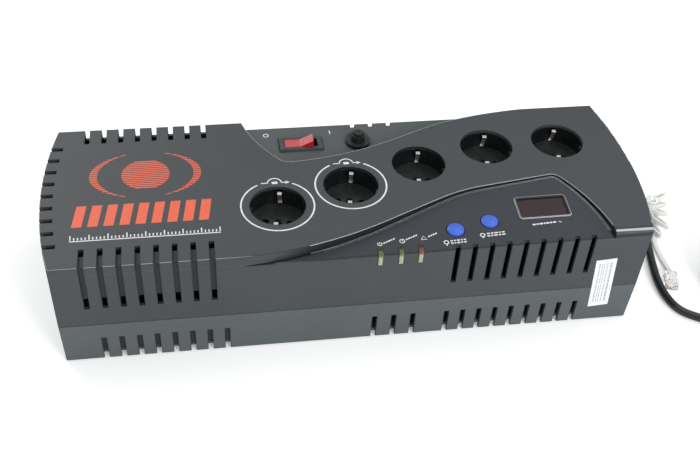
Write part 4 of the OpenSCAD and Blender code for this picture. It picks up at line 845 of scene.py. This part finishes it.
def facing_up(tree):
    """A mask of the faces that look up, fading out towards the upright ones."""
    rise = add(tree, "ShaderNodeSeparateXYZ", {}, {"Vector": tree.nodes["Texture Coordinate"]
               .outputs["Normal"]}).outputs["Z"]
    return add(tree, "ShaderNodeMapRange", {}, {"Value": rise, "From Min": 0.3,
                                                "From Max": 0.8}).outputs["Result"]


def glossy_moulding(name, colour, dusty, rough, upright=None):
    """Glossy thermoplastic: deep colour, a thin film of dust, edges that catch the light, and, where an
    upright colour is given, painted shade on upright faces.
    """
    material, tree, surface, place = started(name)
    dust = add(tree, "ShaderNodeTexNoise", {}, {"Vector": place, "Scale": 1 / 0.005, "Detail": 5.0})
    film = add(tree, "ShaderNodeMapRange", {}, {"Value": dust.outputs["Fac"], "From Min": 0.4,
                                                "From Max": 0.75})
    tint = add(tree, "ShaderNodeMix", {"data_type": "RGBA"},
               {"Factor": film.outputs["Result"], 6: shade(colour), 7: shade(dusty)})
    if upright:
        # painted shade: upright walls are painted darker, and the dust film stays on the faces that look
        # up
        tint = add(tree, "ShaderNodeMix", {"data_type": "RGBA"},
                   {"Factor": facing_up(tree), 6: shade(upright), 7: tint.outputs[2]})
    gloss_and_painted_band = add(tree, "ShaderNodeMapRange", {}, {"Value": dust.outputs["Fac"], "From Min": 0.3,
                                                 "From Max": 0.7, "To Min": rough * 0.8,
                                                 "To Max": rough * 1.3})
    soft = add(tree, "ShaderNodeBevel", {"samples": 4}, {"Radius": 0.0004})
    feed(tree, surface, {"Base Color": tint.outputs[2], "Roughness": gloss_and_painted_band.outputs["Result"],
                         "Normal": soft.outputs["Normal"]})
    return material


# painted shade: the cups' upright walls are painted nearly black
finish_nodes(glossy_moulding("black_polycarbonate", "#2A2E2E", "#313535", 0.3, "#121415"),
             *["socket_insert_%d" % k for k in socket_numbers])
finish_nodes(plated_metal("nickel_plated_spring_steel", "#F4F3F0", "#DEDCD8", 0.3, 0.0008),
             *["earth_clip_%d" % k for k in socket_numbers])
finish_nodes(plated_metal("zinc_plated_steel", "#C9CCD0", "#A7ABB0", 0.34, 0.0012),
             "board_screws", "case_screws", "transformer_screws", "transformer_frame")
finish_nodes(plated_metal("blackened_steel", "#35373A", "#242628", 0.42, 0.0012), "socket_screws")
finish_nodes(plated_metal("stamped_brass", "#CBA24E", "#A98236", 0.3, 0.001),
             "live_contacts", "neutral_contacts", "switch_terminals", "breaker_terminals")

# Rocker switch: a black polyamide housing with a sloping frame, and a rocker moulded in clear
# red polycarbonate. Its top is finely frosted and pale, its sides are polished and deep red.
# painted shade: the housing's upright walls are painted darker
finish_nodes(glossy_moulding("black_polyamide", "#383B3E", "#45484C", 0.42, "#1A1B1D"), "switch_housing")


def clear_red_rocker(name):
    """Clear red polycarbonate, lit through: pale frosted top, deep polished sides."""
    material, tree, surface, place = started(name)
    frosted = facing_up(tree)
    grain = add(tree, "ShaderNodeTexNoise", {}, {"Vector": place, "Scale": 1 / 0.0008, "Detail": 2.0})
    tint = add(tree, "ShaderNodeMix", {"data_type": "RGBA"},
               {"Factor": frosted, 6: shade("#C81410"), 7: shade("#C25054")})
    rough = add(tree, "ShaderNodeMapRange", {}, {"Value": frosted, "To Min": 0.18, "To Max": 0.42})
    bump = add(tree, "ShaderNodeBump", {}, {"Height": grain.outputs["Fac"], "Strength": 0.2,
                                            "Distance": 0.0001})
    feed(tree, surface, {"Subsurface Weight": 0.35, "Subsurface Radius": (0.004, 0.0006, 0.0004),
                         "Subsurface Scale": 1.0, "Base Color": tint.outputs[2],
                         "Roughness": rough.outputs["Result"], "Normal": bump.outputs["Normal"]})
    return material


finish_nodes(clear_red_rocker("clear_red_polycarbonate"), "switch_rocker")

# Breaker: a phenolic body with a threaded bush through the recess, a ribbed nylon ring nut and
# a push-to-reset button.


def threaded_phenolic(name):
    """Black phenolic moulding: hard and dark, with a 1 mm thread drawn round the bush."""
    material, tree, surface, place = started(name)
    turns = add(tree, "ShaderNodeTexWave", {"wave_type": "BANDS", "bands_direction": "Z"},
                {"Vector": place, "Scale": 2 * pi / 20 / 0.001, "Distortion": 0.0})
    specks = add(tree, "ShaderNodeTexNoise", {}, {"Vector": place, "Scale": 1 / 0.0015, "Detail": 3.0})
    tint = add(tree, "ShaderNodeMix", {"data_type": "RGBA"},
               {"Factor": specks.outputs["Fac"], 6: shade("#121314"), 7: shade("#1D1F21")})
    bump = add(tree, "ShaderNodeBump", {}, {"Height": turns.outputs["Fac"], "Strength": 0.5,
                                            "Distance": 0.0003})
    feed(tree, surface, {"Base Color": tint.outputs[2], "Roughness": 0.38,
                         "Normal": bump.outputs["Normal"]})
    return material


finish_nodes(threaded_phenolic("black_phenolic"), "breaker_body")
finish_nodes(glossy_moulding("black_nylon_nut", "#1D1F21", "#2A2C2F", 0.36), "breaker_nut",
             "breaker_button", "phone_jack")

# Push buttons: domed caps in blue ABS, satin from the mould, on the flange that holds them under the
# panel. A painted shade darkens the caps' edges, and all below the panel is painted nearly black, as
# painted shade.
shade_below_lift = -0.0012


def blue_abs(name):
    """Blue ABS with a satin face: even colour, a painted shade round the edge of the cap, and a nearly
    black painted shade below the panel.
    """
    material, tree, surface, place = started(name)
    mottled = add(tree, "ShaderNodeTexNoise", {}, {"Vector": place, "Scale": 1 / 0.003, "Detail": 3.0})
    tint = add(tree, "ShaderNodeMix", {"data_type": "RGBA"},
               {"Factor": mottled.outputs["Fac"], 6: shade("#3362CC"), 7: shade("#406EDA")})
    painted_rim_shading, normal = edges_of(tree, radius=0.0016, samples=4, flat=0.99, sharp=0.9)
    under_panel_shade = where_all(tree, ("LESS_THAN", lift_over_panel(tree, place), shade_below_lift, 0.0))
    # painted shade: darker blue round the cap's edge, and nearly black for all below the panel, flange
    # included
    for mask, colour in ((painted_rim_shading, "#2436B4"), (under_panel_shade, "#1A1B1D")):
        tint = add(tree, "ShaderNodeMix", {"data_type": "RGBA"},
                   {"Factor": mask, 6: tint.outputs[2], 7: shade(colour)})
    gloss_and_painted_band = add(tree, "ShaderNodeMapRange", {}, {"Value": mottled.outputs["Fac"], "To Min": 0.26,
                                                 "To Max": 0.44})
    feed(tree, surface, {"Base Color": tint.outputs[2], "Roughness": gloss_and_painted_band.outputs["Result"],
                         "Normal": normal})
    return material


finish_nodes(blue_abs("blue_abs"), "left_button", "right_button")
finish_nodes(glossy_moulding("black_nylon_key", "#1C1D1F", "#292B2D", 0.45), "left_plunger",
             "right_plunger", "key_switches", "display_module")

# Display window: a flat filter of dark red acrylic, cut from sheet and polished. It lies in the
# raised frame of the panel, over the digits' module, and looks nearly black while that is off.


def red_filter(name):
    """Dark red acrylic: nearly black until lit from behind, with a polished face."""
    material, tree, surface, place = started(name)
    dust = add(tree, "ShaderNodeTexNoise", {}, {"Vector": place, "Scale": 1 / 0.006, "Detail": 5.0})
    tint = add(tree, "ShaderNodeMix", {"data_type": "RGBA"},
               {"Factor": dust.outputs["Fac"], 6: shade("#291A1F"), 7: shade("#352529")})
    gloss_and_painted_band = add(tree, "ShaderNodeMapRange", {}, {"Value": dust.outputs["Fac"], "To Min": 0.1,
                                                 "To Max": 0.24})
    feed(tree, surface, {"Base Color": tint.outputs[2], "Roughness": gloss_and_painted_band.outputs["Result"]})
    return material


finish_nodes(red_filter("dark_red_acrylic"), "display_window")

# Light pipes: strips of clear acrylic bent over the panel's front edge, milky where the mould
# was blasted. The third has a red tint at its upper end. In metres: the bend, and the panel's
# part of a pipe behind it.
bend_low, bend_high = 0.0895, 0.0915
panel_part_from, panel_part_full = -0.0765, -0.0750


def milky_acrylic(name, at_bend, on_top):
    """Frosted clear acrylic: pale on the front, darker over the bend and on the panel, with a painted
    shade along its edges.
    """
    material, tree, surface, place = started(name)
    at = add(tree, "ShaderNodeSeparateXYZ", {}, {"Vector": place}).outputs
    flow = add(tree, "ShaderNodeTexNoise", {}, {"Vector": place, "Scale": 1 / 0.002, "Detail": 3.0})
    tint = add(tree, "ShaderNodeMix", {"data_type": "RGBA"},
               {"Factor": flow.outputs["Fac"], 6: shade("#A3A88E"), 7: shade("#C0C5AC")})
    painted_rim_shading = edges_of(tree, radius=0.0009, samples=4, flat=0.995, sharp=0.93)[0]
    bent = add(tree, "ShaderNodeMapRange", {}, {"Value": at["Z"], "From Min": bend_low,
                                                "From Max": bend_high})
    back = add(tree, "ShaderNodeMapRange", {}, {"Value": at["Y"], "From Min": panel_part_from,
                                                "From Max": panel_part_full})
    # painted shade: the edges are painted dark olive
    for mask, colour in ((bent.outputs["Result"], at_bend), (back.outputs["Result"], on_top),
                         (painted_rim_shading, "#565A3C")):
        tint = add(tree, "ShaderNodeMix", {"data_type": "RGBA"},
                   {"Factor": mask, 6: tint.outputs[2], 7: shade(colour)})
    bump = add(tree, "ShaderNodeBump", {}, {"Height": flow.outputs["Fac"], "Strength": 0.3,
                                            "Distance": 0.0003})
    feed(tree, surface, {"Roughness": 0.28, "Transmission Weight": 0.15, "Subsurface Weight": 0.2,
                         "Subsurface Radius": (0.002, 0.002, 0.0015), "Subsurface Scale": 1.0,
                         "Base Color": tint.outputs[2], "Normal": bump.outputs["Normal"]})
    return material


finish_nodes(milky_acrylic("frosted_acrylic_green", "#6C6E46", "#2B3020"), "light_pipe_1",
             "light_pipe_2", "indicator_lamps")
finish_nodes(milky_acrylic("frosted_acrylic_red", "#824F3B", "#2A2E21"), "light_pipe_3")

# Inside: glass-epoxy boards with green mask, relays, sleeved capacitors, a terminal block, and a
# transformer with varnished laminations and a taped winding. Rubber feet stand under the tray.


def masked_board(name):
    """Glass-epoxy board: green mask over copper tracks about 1.5 mm wide."""
    material, tree, surface, place = started(name)
    tracks = add(tree, "ShaderNodeTexBrick", {}, {"Vector": place, "Scale": 1 / 0.03,
                 "Color1": shade("#14552B"), "Color2": shade("#18612F"), "Mortar": shade("#2B8045"),
                 "Mortar Size": 0.03})
    bump = add(tree, "ShaderNodeBump", {}, {"Height": tracks.outputs["Fac"], "Strength": 0.2,
                                            "Distance": 0.0001})
    feed(tree, surface, {"Base Color": tracks.outputs["Color"], "Roughness": 0.3,
                         "Normal": bump.outputs["Normal"]})
    return material


def layered(name, colour, gap, pitch, direction, rough):
    """Stacked sheets or wound tape: fine bands, one for each layer."""
    material, tree, surface, place = started(name)
    bands = add(tree, "ShaderNodeTexWave", {"wave_type": "BANDS", "bands_direction": direction},
                {"Vector": place, "Scale": 2 * pi / 20 / pitch, "Distortion": 0.4, "Detail": 1.0})
    tint = add(tree, "ShaderNodeMix", {"data_type": "RGBA"},
               {"Factor": bands.outputs["Fac"], 6: shade(gap), 7: shade(colour)})
    bump = add(tree, "ShaderNodeBump", {}, {"Height": bands.outputs["Fac"], "Strength": 0.4,
                                            "Distance": 0.0002})
    feed(tree, surface, {"Base Color": tint.outputs[2], "Roughness": rough,
                         "Normal": bump.outputs["Normal"]})
    return material


finish_nodes(masked_board("green_masked_epoxy_board"), "control_board", "main_board")
finish_nodes(glossy_moulding("black_relay_case", "#1B1C1E", "#292B2D", 0.4), "relays")
finish_nodes(glossy_moulding("sleeved_capacitors", "#14142F", "#23233E", 0.35), "capacitors")
finish_nodes(glossy_moulding("green_polyamide_block", "#1F6B3A", "#33794B", 0.45), "terminal_block")
finish_nodes(layered("varnished_laminations", "#5B5D61", "#2B2A28", 0.0008, "Y", 0.42),
             "transformer_core", "supply_transformer")
finish_nodes(layered("taped_winding", "#C6A95B", "#A38742", 0.0040, "Z", 0.5),
             "transformer_winding")
finish_nodes(flexible_pvc("black_rubber_feet", "#141414", "#222222"), "rubber_feet")

# Table, backdrop and light: a white sweep of paper under soft studio light from above and both
# sides. The paper stays white to the camera, and keeps the soft shadow of the case.
sweep_size, paper_glow, sky_light = 4.0, 0.29, 0.62
softboxes = (("softbox_rear_left", (-0.75, 1.15, 1.05), (-0.1, 0, 0.08), (0.8, 0.6), 6.5),
             ("softbox_above", (0.1, -0.1, 1.5), (0, 0, 0.05), (0.9, 0.9), 1.6),
             ("softbox_front", (0.65, -1.4, 0.8), (0.1, 0, 0.05), (0.5, 0.5), 12.0),
             ("softbox_right", (0.7, 0.4, 1.35), (0.2, 0, 0.03), (0.5, 0.5), 1.9))


def looked_at(tree):
    """1 where the camera looks, straight or through clear plastic, and 0 for all other light."""
    path = add(tree, "ShaderNodeLightPath", {}, {}).outputs
    return add(tree, "ShaderNodeMath", {"operation": "MAXIMUM"},
               {0: path["Is Camera Ray"], 1: path["Is Transmission Ray"]}).outputs[0]


def white_sweep(name):
    """White background paper: an even matte white with very faint unevenness."""
    material, tree, surface, place = started(name)
    cloud = add(tree, "ShaderNodeTexNoise", {}, {"Vector": place, "Scale": 3.0, "Detail": 2.0})
    tint = add(tree, "ShaderNodeMix", {"data_type": "RGBA"},
               {"Factor": cloud.outputs["Fac"], 6: shade("#FBFCFC"), 7: shade("#FDFEFE")})
    glow = add(tree, "ShaderNodeMapRange", {}, {"Value": looked_at(tree), "To Min": 0.0,
                                                "To Max": paper_glow})
    feed(tree, surface, {"Roughness": 0.9, "Specular IOR Level": 0.1, "Emission Color": (1, 1, 1, 1),
                         "Emission Strength": glow.outputs["Result"], "Base Color": tint.outputs[2]})
    return material


mesh = bmesh.new()
bmesh.ops.create_grid(mesh, x_segments=8, y_segments=8, size=sweep_size)
table = as_piece("table", mesh)
table.data.materials.append(white_sweep("white_paper_sweep"))

world = bpy.data.worlds.new("studio")
world.use_nodes = True
bpy.context.scene.world = world
sky = world.node_tree
strength = add(sky, "ShaderNodeMapRange", {}, {"Value": looked_at(sky), "To Min": sky_light,
                                               "To Max": 1.0})
feed(sky, sky.nodes["Background"], {"Color": (1, 1, 1, 1), "Strength": strength.outputs["Result"]})

for name, at, aim, size, power in softboxes:
    light = bpy.data.lights.new(name, "AREA")
    light.shape = "RECTANGLE"
    light.size, light.size_y = size
    light.energy = power
    lamp = bpy.data.objects.new(name, light)
    lamp.location = at
    lamp.rotation_euler = (Vector(aim) - Vector(at)).to_track_quat("-Z", "Y").to_euler()
    bpy.context.scene.collection.objects.link(lamp)

bpy.context.scene.view_settings.view_transform = "Standard"
